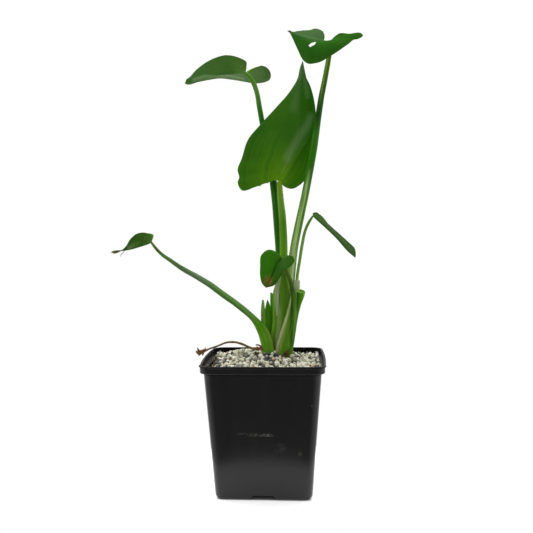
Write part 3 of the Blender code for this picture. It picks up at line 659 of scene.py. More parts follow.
STEMS = {
    "tall_right_stem": [
        (16.5, 23.5, 117, 4.4, 3.6), (18.5, 23, 138, 4.2, 3.6), (21.5, 18.5, 165, 4.0, 3.6),
        (25.4, 14.5, 197, 4.1, 3.6), (28.5, 12.5, 224, 3.9, 3.7), (33, 10.5, 246, 3.8, 3.6),
        (38.5, 9, 270.5, 3.6, 3.4), (43.5, 8, 295, 3.5, 3.3), (48.5, 8, 321, 3.3, 3.1),
        (52.5, 8.5, 348, 3.0, 2.9), (56, 9, 370, 2.8, 2.7), (60.5, 10, 392, 2.5, 2.4),
        (65.2, 12, 420, 1.8, 1.8), (65.7, 12, 425, 1.2, 1.0),
    ],
    "tall_left_stem": [
        (7, 22.2, 117, 4.2, 3.2), (9, 21.6, 140, 4.0, 3.4), (13, 19.8, 173, 3.8, 3.5),
        (14.5, 18, 198, 3.8, 3.6), (14, 17.5, 222, 3.8, 3.6), (12.5, 18, 244, 3.8, 3.6),
        (10.5, 19, 272, 3.8, 3.6), (6.5, 20, 302, 3.3, 3.2), (0.5, 21, 334, 2.8, 2.8),
        (-5, 21.5, 365, 2.5, 2.5), (-8, 21, 382, 2.3, 2.3), (-11, 20.5, 390, 2.4, 2.3),
        (-15, 20, 396, 2.0, 2.0), (-18.5, 20, 399, 1.4, 1.0),
    ],
    "middle_stem": [
        (10, 13.2, 117, 5.3, 2.6), (10.7, 13, 126, 5.9, 2.7), (11.8, 12.3, 135.5, 6.9, 2.9),
        (14.7, 11, 151.5, 7.6, 3.3), (15.6, 9.4, 167.3, 8.4, 3.7), (16, 7.6, 182, 7.9, 3.8),
        (17.6, 6.4, 194, 5.2, 3.6), (18.3, 6, 212, 3.9, 3.4), (18.3, 6, 231.5, 3.7, 3.3),
        (17.2, 6, 256, 3.4, 3.0), (15.5, 6, 275, 2.9, 2.4), (15, 6, 284, 2.6, 1.9),
        (14.8, 6, 288.5, 2.2, 0.9),
    ],
    "arching_stem": [
        (2.7, 7, 117, 5.2, 2.8), (2.5, 7, 125, 5.4, 2.8), (0.9, 6.8, 134, 5.8, 3.0),
        (-1.6, 7, 141, 5.3, 3.0), (-4.8, 7.5, 146.5, 4.5, 2.9), (-8.3, 8.5, 151.5, 3.7, 2.8),
        (-12.1, 9.5, 155.7, 3.1, 2.7), (-23.8, 11, 165.7, 3.0, 2.8), (-43.8, 12.5, 180.2, 3.05, 2.9),
        (-55, 12.5, 188.5, 2.9, 2.7), (-68, 12.5, 196.5, 2.7, 2.6), (-83, 12.5, 205, 2.3, 2.2),
        (-94.5, 12.5, 213, 1.9, 1.8), (-103.5, 12.5, 219.5, 1.6, 1.5), (-110, 12.5, 226.5, 1.4, 1.3),
        (-113.2, 12, 231, 1.1, 0.9),
    ],
    "front_stem": [
        (18, 6.4, 117, 8.3, 2.7), (18.7, 6.2, 126, 8.1, 2.7), (20.6, 5.6, 136.5, 7.1, 2.8),
        (22.8, 5, 146.5, 6.2, 2.8), (24.9, 4, 156, 5.4, 2.8), (26.5, 3.2, 167, 3.9, 2.7),
        (27.1, 2.6, 176.5, 2.8, 2.6), (26.5, 2, 185, 2.3, 2.4), (24.8, 1, 192, 2.1, 2.1),
        (22.5, 0, 198.5, 1.9, 1.9), (19.5, -0.5, 206, 1.6, 1.6), (18, -1, 210, 1.3, 1.3),
        (17.2, -1, 213.5, 1.0, 0.8),
    ],
    "side_stem": [
        (23.5, 21, 117, 1.9, 1.8), (25.5, 21, 138, 1.9, 1.8), (28.5, 17, 166, 1.8, 1.7),
        (30.5, 14, 184.5, 1.6, 1.5), (31.5, 12.5, 196.5, 1.5, 1.4), (34, 11, 212, 1.5, 1.4),
        (36.5, 10, 227.5, 1.5, 1.4), (40.5, 9.5, 243.5, 1.4, 1.3), (43.5, 9, 249.5, 1.4, 1.3),
        (45.5, 9, 252.5, 1.2, 1.1), (47, 9, 254.8, 0.9, 0.8),
    ],
    "left_ligule": [
        (-1.5, 12, 117, 2.4, 0.8), (-2, 12, 135, 2.4, 0.8), (-2.5, 12, 152, 2.0, 0.6),
        (-2.5, 12, 166, 1.8, 0.6), (-2.5, 12, 173, 1.0, 0.5),
    ],
    "pointed_sheath": [
        (3.5, 16.2, 117, 2.6, 1.2), (2.5, 15.5, 132, 3.4, 1.3), (2.5, 15, 150, 3.7, 1.3),
        (2.2, 13.4, 163, 3.0, 1.2), (2.3, 12.8, 169, 1.8, 0.9), (2.1, 12.5, 173, 0.4, 0.5),
    ],
    "back_stub": [
        (9.5, 17.5, 117, 2.2, 0.7), (9, 16.6, 148, 2.6, 0.9), (7.5, 15.6, 165, 2.8, 1.0),
        (7, 15, 179.5, 2.4, 1.1),
    ],
    "white_ligule": [
        (11.6, 4.2, 158, 0.5, 0.4), (11.5, 3.9, 165, 1.4, 0.5), (11.3, 3.4, 172, 2.0, 0.5),
        (11.7, 2.9, 181.5, 2.2, 0.5), (13.1, 1.7, 192, 2.1, 0.5), (15.1, 1.2, 201, 0.6, 0.4),
    ],
    "pale_sheath": [
        (28.6, 16, 150, 1.3, 0.6), (29.6, 14.3, 164, 1.9, 0.6), (30.6, 12.9, 174, 2.4, 0.6),
        (31.1, 11.6, 183, 2.8, 0.6), (31.2, 10.5, 192.3, 2.8, 0.6),
    ],
    "right_stub": [
        (24.5, 13.4, 117, 1.3, 1.3), (26.9, 12.4, 134, 1.5, 1.4), (28.3, 11.6, 143.7, 1.6, 1.5),
        (29.6, 11, 153.5, 1.8, 1.6), (30.9, 10.4, 161.4, 2.0, 1.8), (32.2, 9.6, 167.8, 2.4, 2.1),
        (33.3, 9, 172.2, 2.8, 2.4), (34.2, 8.2, 176, 3.4, 2.7), (34.7, 7.1, 179.5, 3.9, 2.8),
        (35, 5.6, 181.8, 4.0, 2.8),
    ],
    "dead_stem": [
        (-7, 17, 123.1, 1.1, 1.0), (-15.5, 19.5, 125, 1.2, 1.1), (-24.5, 22, 128.3, 1.2, 1.1),
        (-31.5, 24, 129.8, 1.1, 1.0), (-40, 26, 129.3, 1.0, 1.0), (-47, 28, 126.6, 1.0, 1.0),
        (-56, 31, 123, 1.0, 0.9), (-61, 32.4, 121.1, 0.9, 0.8),
    ],
    # Thin fibre that hangs across the arching blade's waist
    "arching_hair": [
        (-138.4, 9.6, 223.9, 0.25, 0.25), (-140.7, 9, 220.9, 0.32, 0.3), (-142.3, 8.5, 218.9, 0.3, 0.3),
        (-143.0, 8, 216.8, 0.2, 0.2),
    ],
}

DISH = [(0.86, 0.0), (0.6, 0.6), (0.3, 0.9)]   # how far a hollow end's rings shrink and sink

# Colours of each stem from foot to top, and its bands; some stops and bands are painted shade and painted
# highlights, as marked
STEM_LOOKS = {
    "stem_tall_right": ([
        (0.0, (0.24, 0.42, 0.11)), (0.3, (0.19, 0.46, 0.03)), (0.5, (0.11, 0.36, 0.01)),
        (0.57, (0.03, 0.20, 0.002)), (0.64, (0.04, 0.24, 0.002)), (0.70, (0.05, 0.24, 0.008)),
        # painted shade: the dark stop at 0.76 stands for shade on the stem by the middle blade's edge
        (0.76, (0.015, 0.09, 0.006)), (0.84, (0.03, 0.15, 0.004)), (0.93, (0.09, 0.24, 0.006)),
        (1.0, (0.12, 0.24, 0.004)),
    ], [
        # painted highlights: the three pale bands below
        (0.03, 0.36, 0.0, 0.05, 0.85, (0.85, 1.0, 0.50), 1.0),
        (0.34, 0.57, 0.0, 0.05, 0.6, (0.75, 1.0, 0.42), 1.0),
        (0.82, 0.97, -0.2, -0.3, 0.35, (0.50, 0.85, 0.10), 0.7),
    ]),
    "stem_tall_left": ([
        (0.0, (0.035, 0.17, 0.004)), (0.45, (0.035, 0.18, 0.004)), (0.55, (0.03, 0.19, 0.004)),
        # painted shadow: the dark stop at 0.6 is the middle blade's shadow on the stem
        (0.6, (0.01, 0.11, 0.004)), (0.8, (0.02, 0.155, 0.02)), (0.86, (0.05, 0.25, 0.012)),
        (0.93, (0.13, 0.38, 0.04)), (1.0, (0.11, 0.30, 0.01)),
    ], []),
    "stem_middle": ([
        (0.0, (0.16, 0.36, 0.02)), (0.2, (0.18, 0.42, 0.02)), (0.45, (0.20, 0.42, 0.04)),
        (0.62, (0.135, 0.385, 0.01)), (0.76, (0.11, 0.33, 0.01)), (0.86, (0.18, 0.46, 0.03)),
        (0.95, (0.26, 0.485, 0.04)), (1.0, (0.215, 0.42, 0.003)),
    ], [
        # painted highlights: the first two pale bands below, lighter along the stem's left
        (0.05, 0.30, 0.0, -0.28, 0.28, (0.50, 0.62, 0.34), 0.75),
        (0.27, 0.46, -0.30, -0.75, 0.24, (0.50, 0.62, 0.34), 0.85),
        (0.2, 0.5, 0.3, 0.35, 0.4, (0.12, 0.38, 0.006), 0.8),
    ]),
    "stem_arching": ([
        (0.0, (0.15, 0.42, 0.02)), (0.14, (0.14, 0.40, 0.015)), (0.2, (0.10, 0.33, 0.005)),
        (0.28, (0.15, 0.37, 0.06)), (0.47, (0.14, 0.34, 0.055)), (0.66, (0.19, 0.32, 0.15)),
        (0.8, (0.13, 0.26, 0.08)), (0.88, (0.15, 0.35, 0.07)), (0.94, (0.09, 0.22, 0.005)),
        (1.0, (0.18, 0.33, 0.08)),
    ], [
        (0.02, 0.17, 0.9, 1.0, 0.14, (0.45, 0.38, 0.16), 0.85),
        # painted shade: the two dark bands below darken both edges of the stem, leaving its middle lit
        (0.26, 0.95, -0.9, -0.9, 0.45, (0.03, 0.12, 0.01), 0.8),
        (0.26, 0.95, 0.9, 0.9, 0.45, (0.03, 0.12, 0.01), 0.8),
    ]),
    "stem_front": ([
        (0.0, (0.11, 0.34, 0.006)), (0.3, (0.15, 0.38, 0.02)), (0.5, (0.11, 0.31, 0.015)),
        (0.68, (0.06, 0.16, 0.006)), (0.8, (0.13, 0.25, 0.02)), (1.0, (0.20, 0.27, 0.05)),
    ], [
        (0.02, 0.62, -0.85, -0.75, 0.34, (0.60, 0.68, 0.34), 0.9),
        (0.02, 0.34, -0.7, -0.65, 0.2, (0.30, 0.22, 0.10), 0.75),
        (0.14, 0.72, 0.85, -0.6, 0.42, (0.018, 0.10, 0.003), 0.95),
    ]),
    "stem_side": ([
        (0.0, (0.52, 0.74, 0.22)), (0.5, (0.38, 0.64, 0.16)), (0.8, (0.24, 0.50, 0.08)),
        (1.0, (0.12, 0.34, 0.03)),
    ], []),
    "sheath_dark": ([
        (0.0, (0.26, 0.44, 0.08)), (0.45, (0.12, 0.42, 0.006)), (1.0, (0.09, 0.40, 0.004)),
    ], []),
    "sheath_stub": ([(0.0, (0.08, 0.26, 0.01)), (1.0, (0.13, 0.42, 0.004))], []),
}

# Body, veins and edge of each thin sheath
MEMBRANES = {
    "sheath_white": [(0.66, 0.76, 0.48), (0.26, 0.46, 0.10), (0.60, 0.55, 0.36)],
    "sheath_pale": [(0.88, 0.95, 0.58), (0.55, 0.72, 0.30), (0.85, 0.84, 0.66)],
    "sheath_ligule": [(0.34, 0.52, 0.13), (0.20, 0.40, 0.05), (0.46, 0.52, 0.24)],
}

# Light and dark colour of each dry look
DRY_LOOKS = {
    "dry_stem": [(0.42, 0.30, 0.09), (0.09, 0.05, 0.015)],
    "hair": [(0.30, 0.30, 0.28), (0.10, 0.10, 0.09)],
    "dry_tip": [(0.42, 0.22, 0.10), (0.12, 0.05, 0.022)],
    "dry_scrap": [(0.52, 0.27, 0.07), (0.12, 0.05, 0.014)],
    "dark_bark": [(0.10, 0.055, 0.018), (0.018, 0.010, 0.004)],
    "dry_roots": [(0.22, 0.085, 0.035), (0.035, 0.014, 0.006)],
}

# Piece, stations, look and slot, then rings, sides, ribs, depth of the ribs, wave, ragged and hollow
STEM_PIECES = [
    ("tall_right_petiole", "tall_right_stem", "stem_tall_right", "stem", 150, 28, 9, 0.03, 0.08, 0, 0),
    ("tall_left_petiole", "tall_left_stem", "stem_tall_left", "stem", 150, 28, 8, 0.03, 0.08, 0, 0),
    ("middle_petiole", "middle_stem", "stem_middle", "stem", 120, 40, 11, 0.025, 0.12, 0, 0),
    ("arching_petiole", "arching_stem", "stem_arching", "stem", 120, 32, 8, 0.025, 0.1, 0, 0),
    ("front_petiole", "front_stem", "stem_front", "stem", 90, 32, 8, 0.03, 0.1, 0, 0),
    ("side_petiole", "side_stem", "stem_side", "stem", 100, 20, 5, 0.03, 0.05, 0, 0),
    ("left_ligule_strip", "left_ligule", "sheath_ligule", "pale_sheath", 50, 28, 0, 0, 0.15, 1, 0),
    ("pointed_sheath_strip", "pointed_sheath", "sheath_dark", "sheath", 50, 28, 7, 0.04, 0.2, 0.6, 0),
    ("back_stub_strip", "back_stub", "sheath_dark", "sheath", 50, 28, 7, 0.04, 0.15, 1.6, 0.8),
    ("white_ligule_strip", "white_ligule", "sheath_white", "pale_sheath", 50, 28, 0, 0, 0.25, 0.6, 0),
    ("pale_sheath_strip", "pale_sheath", "sheath_pale", "pale_sheath", 50, 28, 0, 0, 0.25, 1, 0),
    ("right_stub_cut", "right_stub", "sheath_stub", "sheath", 50, 28, 7, 0.05, 0.15, 0.9, 1.6),
    ("dead_stem_dry", "dead_stem", "dry_stem", "dry_leaf", 110, 14, 0, 0, 0.28, 0, 0),
    ("arching_hair", "arching_hair", "hair", "dry_leaf", 30, 10, 0, 0, 0, 0, 0),
]


def stem_skin(stations, rings, sides, ribs=0, rib_depth=0.0, wave=0.0, seed=0.0):
    """Rings of points round a stem, with its marks for the material."""
    share = np.linspace(0.0, 1.0, rings)
    rows = spline(stations, share)
    centre = rows[:, :3]
    along = unit(np.gradient(centre, axis=0))
    deep = unit(BACK - along * (along @ BACK)[:, None])
    wide = np.cross(deep, along)
    angle = 2 * math.pi * np.arange(sides) / sides
    cosine, sine = rows[:, 3:4] * np.cos(angle), rows[:, 4:5] * np.sin(angle)
    swell = 1 + rib_depth * np.cos(ribs * angle)
    skin = (centre[:, None] + wide[:, None] * (cosine * swell)[:, :, None]
            + deep[:, None] * (sine * swell)[:, :, None])
    length = np.concatenate(([0.0], np.cumsum(np.linalg.norm(np.diff(centre, axis=0), axis=1))))
    grain = np.stack([cosine, sine, np.repeat(length[:, None], sides, axis=1)], axis=2) + seed
    run = np.stack([np.repeat(share[:, None], sides, axis=1), np.tile(np.cos(angle), (rings, 1)),
                    np.tile(np.sin(angle), (rings, 1))], axis=2)
    if wave:
        push = wave * lumps(grain.reshape(-1, 3) * (1.0, 1.0, 0.25), 2.0, seed).reshape(rings, sides)
        skin = skin + unit(skin - centre[:, None]) * push[:, :, None]
    return skin, grain * MM, run


def make_stem(name, node, look, slot, rings, sides, ribs, rib_depth, wave, ragged, hollow, seed):
    """Stem or sheath strip. Ragged tears its end, and hollow dishes a cut end."""
    skin, grain, run = stem_skin(STEMS[node], rings, sides, ribs, rib_depth, wave, seed)
    if ragged:
        lift = lumps(np.stack([run[-1, :, 1], run[-1, :, 2], np.full(sides, seed)], axis=1) * 2.0, 0.7, seed)
        for back in range(TORN_RINGS):
            fade = 1 - back / TORN_RINGS
            skin[-1 - back] += unit(skin[-1] - skin[-1 - TORN_RINGS]) * (lift * ragged * fade)[:, None]
    faces = loft_faces(rings, sides)
    rows, grain_rows, run_rows = list(skin), list(grain), list(run)
    if hollow:
        faces.pop()
        middle = skin[-1].mean(axis=0)
        down = unit(skin[-2].mean(axis=0) - middle)
        for shrink, sink in DISH:
            rows.append(middle + (skin[-1] - middle) * shrink + down * hollow * sink)
            grain_rows.append(rows[-1] * MM)
            run_rows.append(run[-1])
        faces += loft_faces(len(DISH) + 1, sides, (rings - 1) * sides)
        del faces[-2]
    cut = np.repeat(np.arange(len(rows)) >= rings, sides).astype(float)
    made = piece(name, np.vstack(rows), faces, look, slot, 50.0, grain=np.vstack(grain_rows),
                 run=np.vstack(run_rows), cut=cut)
    if node in frame["nodes"]:
        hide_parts(node)


def make_stems():
    """All stems, sheaths and stubs."""
    looks = {name: stem_look(name, *colours) for name, colours in STEM_LOOKS.items()}
    looks |= {name: membrane_look(name, *colours) for name, colours in MEMBRANES.items()}
    looks |= {name: dry_look(name, *DRY_LOOKS[name]) for name in ("dry_stem", "hair")}
    for seed, (name, node, look, slot, *form) in enumerate(STEM_PIECES, 1):
        make_stem(name, node, looks[look], slot, *form, float(seed))


# Dry bits: look, slot and a bundle of short strands, each given like a stem
DRY_BITS = {
    "withered_end": ("dry_tip", "dry_leaf", [
        [(-60.4, 32.4, 121.1, 0.9, 0.8), (-62.4, 32.8, 120.5, 1.3, 1.0), (-64.3, 33.5, 119.9, 1.8, 1.2),
         (-67.4, 33.5, 118.5, 2.2, 1.4), (-70.0, 33.5, 118.0, 2.7, 1.6), (-73.4, 33.5, 119.0, 0.5, 0.4)],
        [(-69.2, 33, 118.2, 1.9, 1.2), (-70.4, 32.6, 120.6, 1.1, 0.9), (-71.4, 32, 123.2, 0.25, 0.3)],
        [(-69.2, 34, 118.0, 2.1, 1.2), (-69.8, 34.4, 115.8, 1.3, 0.9), (-70.5, 34.6, 113.9, 0.25, 0.3)],
        [(-64.4, 33.6, 119.6, 1.4, 0.9), (-63.8, 34.2, 121.3, 0.8, 0.6), (-63.4, 35, 123.0, 0.2, 0.2)],
        [(-66.2, 33, 118.4, 1.6, 1.0), (-66.0, 32.4, 116.4, 1.0, 0.8), (-66.4, 32, 114.9, 0.25, 0.3)],
    ]),
    "brown_scrap": ("dry_scrap", "dry_leaf", [
        [(-9.4, 6, 130.2, 0.5, 0.4), (-8.1, 6, 129.8, 0.8, 0.6), (-6.5, 6, 129.6, 0.8, 0.6),
         (-5.0, 6, 128.7, 1.0, 0.7), (-3.6, 5.2, 127.2, 1.0, 0.7), (-3.2, 4.2, 125.4, 0.7, 0.6)],
        [(-11.2, 7.5, 126.2, 0.8, 0.6), (-8.4, 6.6, 126.1, 1.1, 0.8), (-6.2, 5.6, 125.4, 1.0, 0.7),
         (-4.2, 4.2, 125.2, 0.9, 0.7), (-3.0, 3.6, 124.6, 0.6, 0.5)],
        [(-8.6, 6.2, 128.2, 0.4, 0.4), (-7.0, 5.6, 127.4, 0.7, 0.5), (-5.4, 5, 126.4, 0.7, 0.6)],
    ]),
    "bark_bit": ("dark_bark", "bark", [
        [(-9.8, 3.0, 123.6, 0.9, 0.8), (-8.9, 2.0, 122.2, 1.5, 1.1), (-7.6, 1.4, 120.9, 1.3, 1.0)],
        [(-7.4, 2.0, 122.9, 0.8, 0.7), (-6.2, 1.2, 122.0, 1.3, 0.9), (-5.0, 0.8, 121.0, 0.8, 0.6)],
    ]),
    "root_scrap": ("dry_roots", "bark", [
        [(23.4, 1.6, 127.2, 0.4, 0.4), (22.0, 1.6, 125.1, 0.7, 0.5), (21.1, 1.4, 122.7, 0.8, 0.6),
         (21.5, 1.2, 119.9, 0.4, 0.4)],
        [(19.6, 1.6, 124.6, 0.4, 0.4), (18.7, 1.3, 123.2, 0.6, 0.5), (18.7, 0.9, 120.9, 0.7, 0.5),
         (20.1, 0.6, 119.0, 0.3, 0.3)],
        [(16.2, 1.2, 120.9, 0.5, 0.4), (18.2, 0.6, 121.9, 0.7, 0.5), (20.6, 0.5, 122.8, 0.8, 0.5),
         (23.0, 0.8, 121.4, 0.4, 0.4)],
        [(14.8, 1.2, 120.2, 0.5, 0.4), (17.2, 0.2, 119.4, 0.7, 0.5), (19.6, 0, 120.0, 0.6, 0.5),
         (22.5, 0.4, 119.5, 0.4, 0.4)],
        [(23.8, 1.5, 124.2, 0.4, 0.4), (22.6, 0.9, 122.3, 0.6, 0.5), (23.3, 0.9, 120.2, 0.3, 0.3)],
    ]),
}


def make_dry_bits():
    """Crumpled brown remains at the plant's foot and at the dry stem's tip."""
    for bit, (node, (look, slot, strands)) in enumerate(DRY_BITS.items()):
        skins = [stem_skin(stations, STRAND_RINGS, STRAND_SIDES, wave=0.3, seed=20.0 + 3 * bit + k)
                 for k, stations in enumerate(strands)]
        points, grain, run = [np.concatenate(rows).reshape(-1, 3) for rows in zip(*skins)]
        faces = []
        for k in range(len(strands)):
            faces += loft_faces(STRAND_RINGS, STRAND_SIDES, STRAND_RINGS * STRAND_SIDES * k)
        made = piece(node + "_strands", points, faces, dry_look(look, *DRY_LOOKS[look]), slot, 50.0,
                     grain=grain, run=run)
        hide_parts(node)


# Blades. The midrib runs from the stem's end to the tip. Each margin runs between the same two points,
# back round its lobe, and leaves them out. A crease is a pleat in the right half.

BLADES = {
    "tall_right_blade": {
        "midrib": [(66, 12, 425.5), (50, -7, 418), (33, -29, 414), (24, -41, 413.5)],
        "left": [
            (69.5, 13, 429), (73.5, 13.5, 433), (84, 13, 432.5), (94.5, 11, 432), (96.5, 8.5, 428.5),
            (92, 6, 424.5), (87, 4, 422.7), (82.3, 0, 417.7), (77.3, -4, 413), (63, -15, 400),
            (49.5, -26, 390), (42, -31, 388), (38, -35, 389.5), (33, -38, 398), (27.5, -40, 409.5),
            (25.9, -40.8, 412.2),
        ],
        "right": [
            (60, 18, 428.6), (60.7, 31, 436), (60.9, 37, 443), (58.5, 42, 449.2), (55.3, 41, 450.2),
            (46, 30, 444.7), (39.3, 16, 438.4), (32.8, -6, 428.2), (28.1, -28, 418.2),
            (25.6, -39.5, 414.2),
        ],
        "crease": [
            (62, 15, 426.5), (55, 17, 427.5), (47, 9, 427), (38.5, -6, 423), (30.5, -26, 417),
            (24, -41, 413.5),
        ],
    },
    "tall_left_blade": {
        "midrib": [(-18, 20, 399), (-46, 33, 403), (-74, 45, 403), (-86, 49.5, 400.5)],
        "left": [
            (-18.6, 14, 402), (-16.3, 8, 405.3), (-23, 3, 408), (-33.4, 2, 410.5), (-47.3, 7, 410.2),
            (-57.2, 13.5, 408.5), (-71.5, 28, 405), (-77.5, 35, 402.4), (-83.2, 44, 402.6),
        ],
        "right": [
            (-14, 23, 400.6), (-10, 26, 404.6), (-4.4, 29, 409.6), (2.2, 34, 409.4), (5.8, 40, 405.2),
            (4.5, 45, 401), (-1, 48, 399.3), (-10.3, 50, 399), (-22, 51, 401.2), (-36, 53, 404.6),
            (-49, 54, 406.5), (-60.8, 54, 405.4), (-73, 53, 402.8), (-83.5, 51, 400),
        ],
    },
    "middle_blade": {
        "midrib": [
            (15, 6, 288), (21, 7.5, 301.5), (29, 11, 323), (35, 12.5, 348), (36.5, 11.5, 376),
            (38.3, 10, 406.5),
        ],
        "left": [
            (8, 5, 292), (-2, 3, 289.4), (-11, 1, 281.8), (-21, -1, 279.2), (-25, -2, 287),
            (-23.5, -1, 292), (-25, -2, 298), (-21, -1, 310), (-15, 0, 328), (-3.6, 3, 342.6),
            (11.5, 6, 359.6), (26, 9, 377), (33.4, 10, 390), (35.4, 10, 399),
        ],
        "right": [
            (19, 10, 284.4), (27, 16, 282.5), (34, 19, 286), (42, 20, 294.6), (47, 20, 310), (50, 19, 330),
            (51.2, 18, 348), (49.7, 15, 367), (45.6, 12, 382), (40.4, 10.5, 393),
        ],
        "crease": [
            (15, 6, 288), (21, 13, 298), (34, 21, 319), (44, 22, 334), (47, 19, 352), (45, 14, 375),
            (38.3, 10, 406.5),
        ],
    },
    "arching_blade": {
        "midrib": [
            (-113, 12, 230.6), (-124, 10.5, 227), (-134, 10, 224.2), (-141, 10.6, 223.2),
            (-144, 11, 222.6), (-150, 11, 221.3), (-154.4, 12, 221.5),
        ],
        "left": [
            (-111.8, 7.5, 237.4), (-117, 6, 240), (-125, 6, 239.5), (-132, 7.5, 235), (-138.6, 9.5, 226.4),
            (-141.3, 10, 224.1), (-144, 10.7, 223), (-147, 10.8, 223.2), (-150, 10.8, 222.9),
        ],
        "right": [
            (-112.2, 16.5, 238.6), (-120, 18.5, 240.4), (-130, 19, 238.5), (-136, 17.5, 233),
            (-140.4, 14, 225.6), (-142.4, 12.2, 223.2), (-144.4, 11.5, 222), (-147, 11.3, 220.7),
            (-150, 11.2, 219.9),
        ],
    },
    "front_blade": {
        "midrib": [(17, -1, 214), (13, -5, 209), (10, -8.5, 202), (6.5, -11, 194), (2, -12, 186)],
        "left": [
            (22, -3, 216.5), (27, -6, 215.5), (29, -9, 212), (26, -12, 206.5), (19, -14, 201.5),
            (14.5, -14.5, 194.5), (10.5, -14, 189),
        ],
        "right": [
            (11.5, -1, 220), (4, -3, 222), (-2.5, -6, 217), (-3.5, -10, 206), (-3.5, -12, 198),
            (-1.5, -13, 190),
        ],
    },
    "side_blade": {
        "midrib": [(47, 9, 255), (58, 8.5, 245), (72, 7.5, 230.9), (80, 6.5, 221), (87.4, 5, 213.8)],
        "left": [
            (48.5, 12, 257.5), (52, 14, 257.5), (64, 15, 245.5), (75.5, 14, 233), (84.5, 11, 225.6),
            (88, 7, 218),
        ],
        "right": [
            (47, 7, 257.3), (50.5, 5, 257.9), (56.2, 3.5, 251.6), (69, 2, 239.5), (80, 1.5, 229.2),
            (86.8, 2.5, 222),
        ],
    },
}


def between(start, end, steps):
    """Rows of points stepping from one line to another."""
    share = np.linspace(0.0, 1.0, steps + 1)[None, :, None]
    return start[:, None] * (1 - share) + end[:, None] * share


def blade_half(midrib, margin, crease):
    """Sheet of one half of a blade: rows of points from the midrib to the margin."""
    share = np.linspace(0.0, 1.0, BLADE_ROWS + 1)
    inner = spline(midrib, share ** VEIN_SPREAD)
    outer = spline([midrib[0], *margin, midrib[-1]], share)
    if crease is None:
        return between(inner, outer, BLADE_COLUMNS)
    fold = spline(crease, share ** ((1 + VEIN_SPREAD) / 2))
    bend = round(CREASE_SHARE * BLADE_COLUMNS)
    outside = between(fold, outer, BLADE_COLUMNS - bend)
    return np.concatenate((between(inner, fold, bend), outside[:, 1:]), axis=1)


def blade_sheet(blade):
    """Whole blade from its left margin to its right one. A crease is soft: it is averaged away a little."""
    left = blade_half(blade["midrib"], blade["left"], None)
    right = blade_half(blade["midrib"], blade["right"], blade.get("crease"))
    sheet = np.concatenate((left[:, ::-1], right[:, 1:]), axis=1)
    for _ in range(CREASE_SOFTENING if "crease" in blade else 0):
        sheet[:, 1:-1] = 0.25 * sheet[:, :-2] + 0.5 * sheet[:, 1:-1] + 0.25 * sheet[:, 2:]
    return sheet


def blade_faces(rows, wide):
    """Faces of both layers, which run together in the points 0 and 1, and of the edges between them."""
    layers = np.arange(2, 2 + 2 * rows * wide).reshape(2, rows, wide).tolist()
    faces = []
    for layer in layers:
        for j in range(wide - 1):
            faces += [(0, layer[0][j], layer[0][j + 1]), (1, layer[-1][j], layer[-1][j + 1])]
            faces += [(row[j], row[j + 1], after[j + 1], after[j]) for row, after in zip(layer, layer[1:])]
    first, second = layers
    for j in (0, wide - 1):
        faces += [(0, first[0][j], second[0][j]), (1, first[-1][j], second[-1][j])]
        faces += [(first[i][j], first[i + 1][j], second[i + 1][j], second[i][j]) for i in range(rows - 1)]
    return faces


def make_blade(name, look, under_look, bulge, blotch):
    """Thin closed blade with a sunken midrib, domed halves and a rippled margin."""
    sheet = blade_sheet(BLADES[name])
    wide = sheet.shape[1]
    across, along = np.meshgrid(np.linspace(-1.0, 1.0, wide), np.linspace(0.0, 1.0, BLADE_ROWS + 1))
    out = np.abs(across)
    normal = np.zeros_like(sheet)
    normal[1:-1] = unit(np.cross(np.gradient(sheet, axis=0), np.gradient(sheet, axis=1))[1:-1])
    facing = 1.0 if normal[1:-1].mean(axis=(0, 1)) @ UPPER_SIDE > 0 else -1.0
    reach = np.clip(6.0 * along * (1 - along), 0.0, 1.0)
    dome = bulge * np.sin(math.pi * out) * reach
    groove = -0.5 * np.exp(-(across / 0.05) ** 2) * reach
    edge = RIPPLE * out ** 6 * np.sin(along * 37.0 + 3.0 * across) * reach
    sheet = sheet + normal * (facing * (dome + groove) + edge)[:, :, None]
    half_thick = 0.5 * BLADE_THICKNESS * (1 - 0.6 * out ** 8)
    points, leaf = [sheet[[0, -1], 0]], [[(0.0, 0.0, 1.0), (0.0, 1.0, 1.0)]]
    for side in (1.0, -1.0):
        points.append((sheet + normal * (side * half_thick)[:, :, None])[1:-1].reshape(-1, 3))
        leaf.append(np.stack([across, along, np.full_like(out, side * facing)], axis=2)[1:-1].reshape(-1, 3))
    points, leaf = np.vstack(points), np.vstack(leaf)
    # painted highlight: how strongly each point takes the pale highlight colour
    painted_highlight_level = np.zeros(len(points))
    for line, half, strength in PAINTED_HIGHLIGHTS.get(name, ()):
        painted_highlight_level = np.maximum(painted_highlight_level, strength * np.clip(1.3 - line_distance(points, line) / half, 0.0, 1.0))
    faces = blade_faces(BLADE_ROWS - 1, wide)
    made = piece(name + "_skin", points, faces, look, "leaf", 70.0,
                 leaf=leaf, blotch=blotch(points, leaf), bloom=painted_highlight_level)
    made.data.materials.append(under_look)
    layer = (wide - 1) * BLADE_ROWS
    start = layer if facing > 0 else 0
    under = np.zeros(len(faces), np.int32)
    under[start:start + layer] = 1
    made.data.polygons.foreach_set("material_index", under)
    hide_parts(name)
    return made


def line_distance(points, line):
    """Distance of each point from a line of joined straight stretches."""
    nearest = np.full(len(points), np.inf)
    for start, end in zip(np.array(line[:-1], float), np.array(line[1:], float)):
        share = np.clip((points - start) @ (end - start) / ((end - start) @ (end - start)), 0.0, 1.0)
        nearest = np.minimum(nearest, np.linalg.norm(points - start - share[:, None] * (end - start), axis=1))
    return nearest


def spot(points, centre, half, strength):
    """Stain of that strength at a point, which fades outwards."""
    away = np.linalg.norm((points - np.array(centre)) / np.array(half), axis=1)
    return strength * np.clip(1.3 - away, 0.0, 1.0)


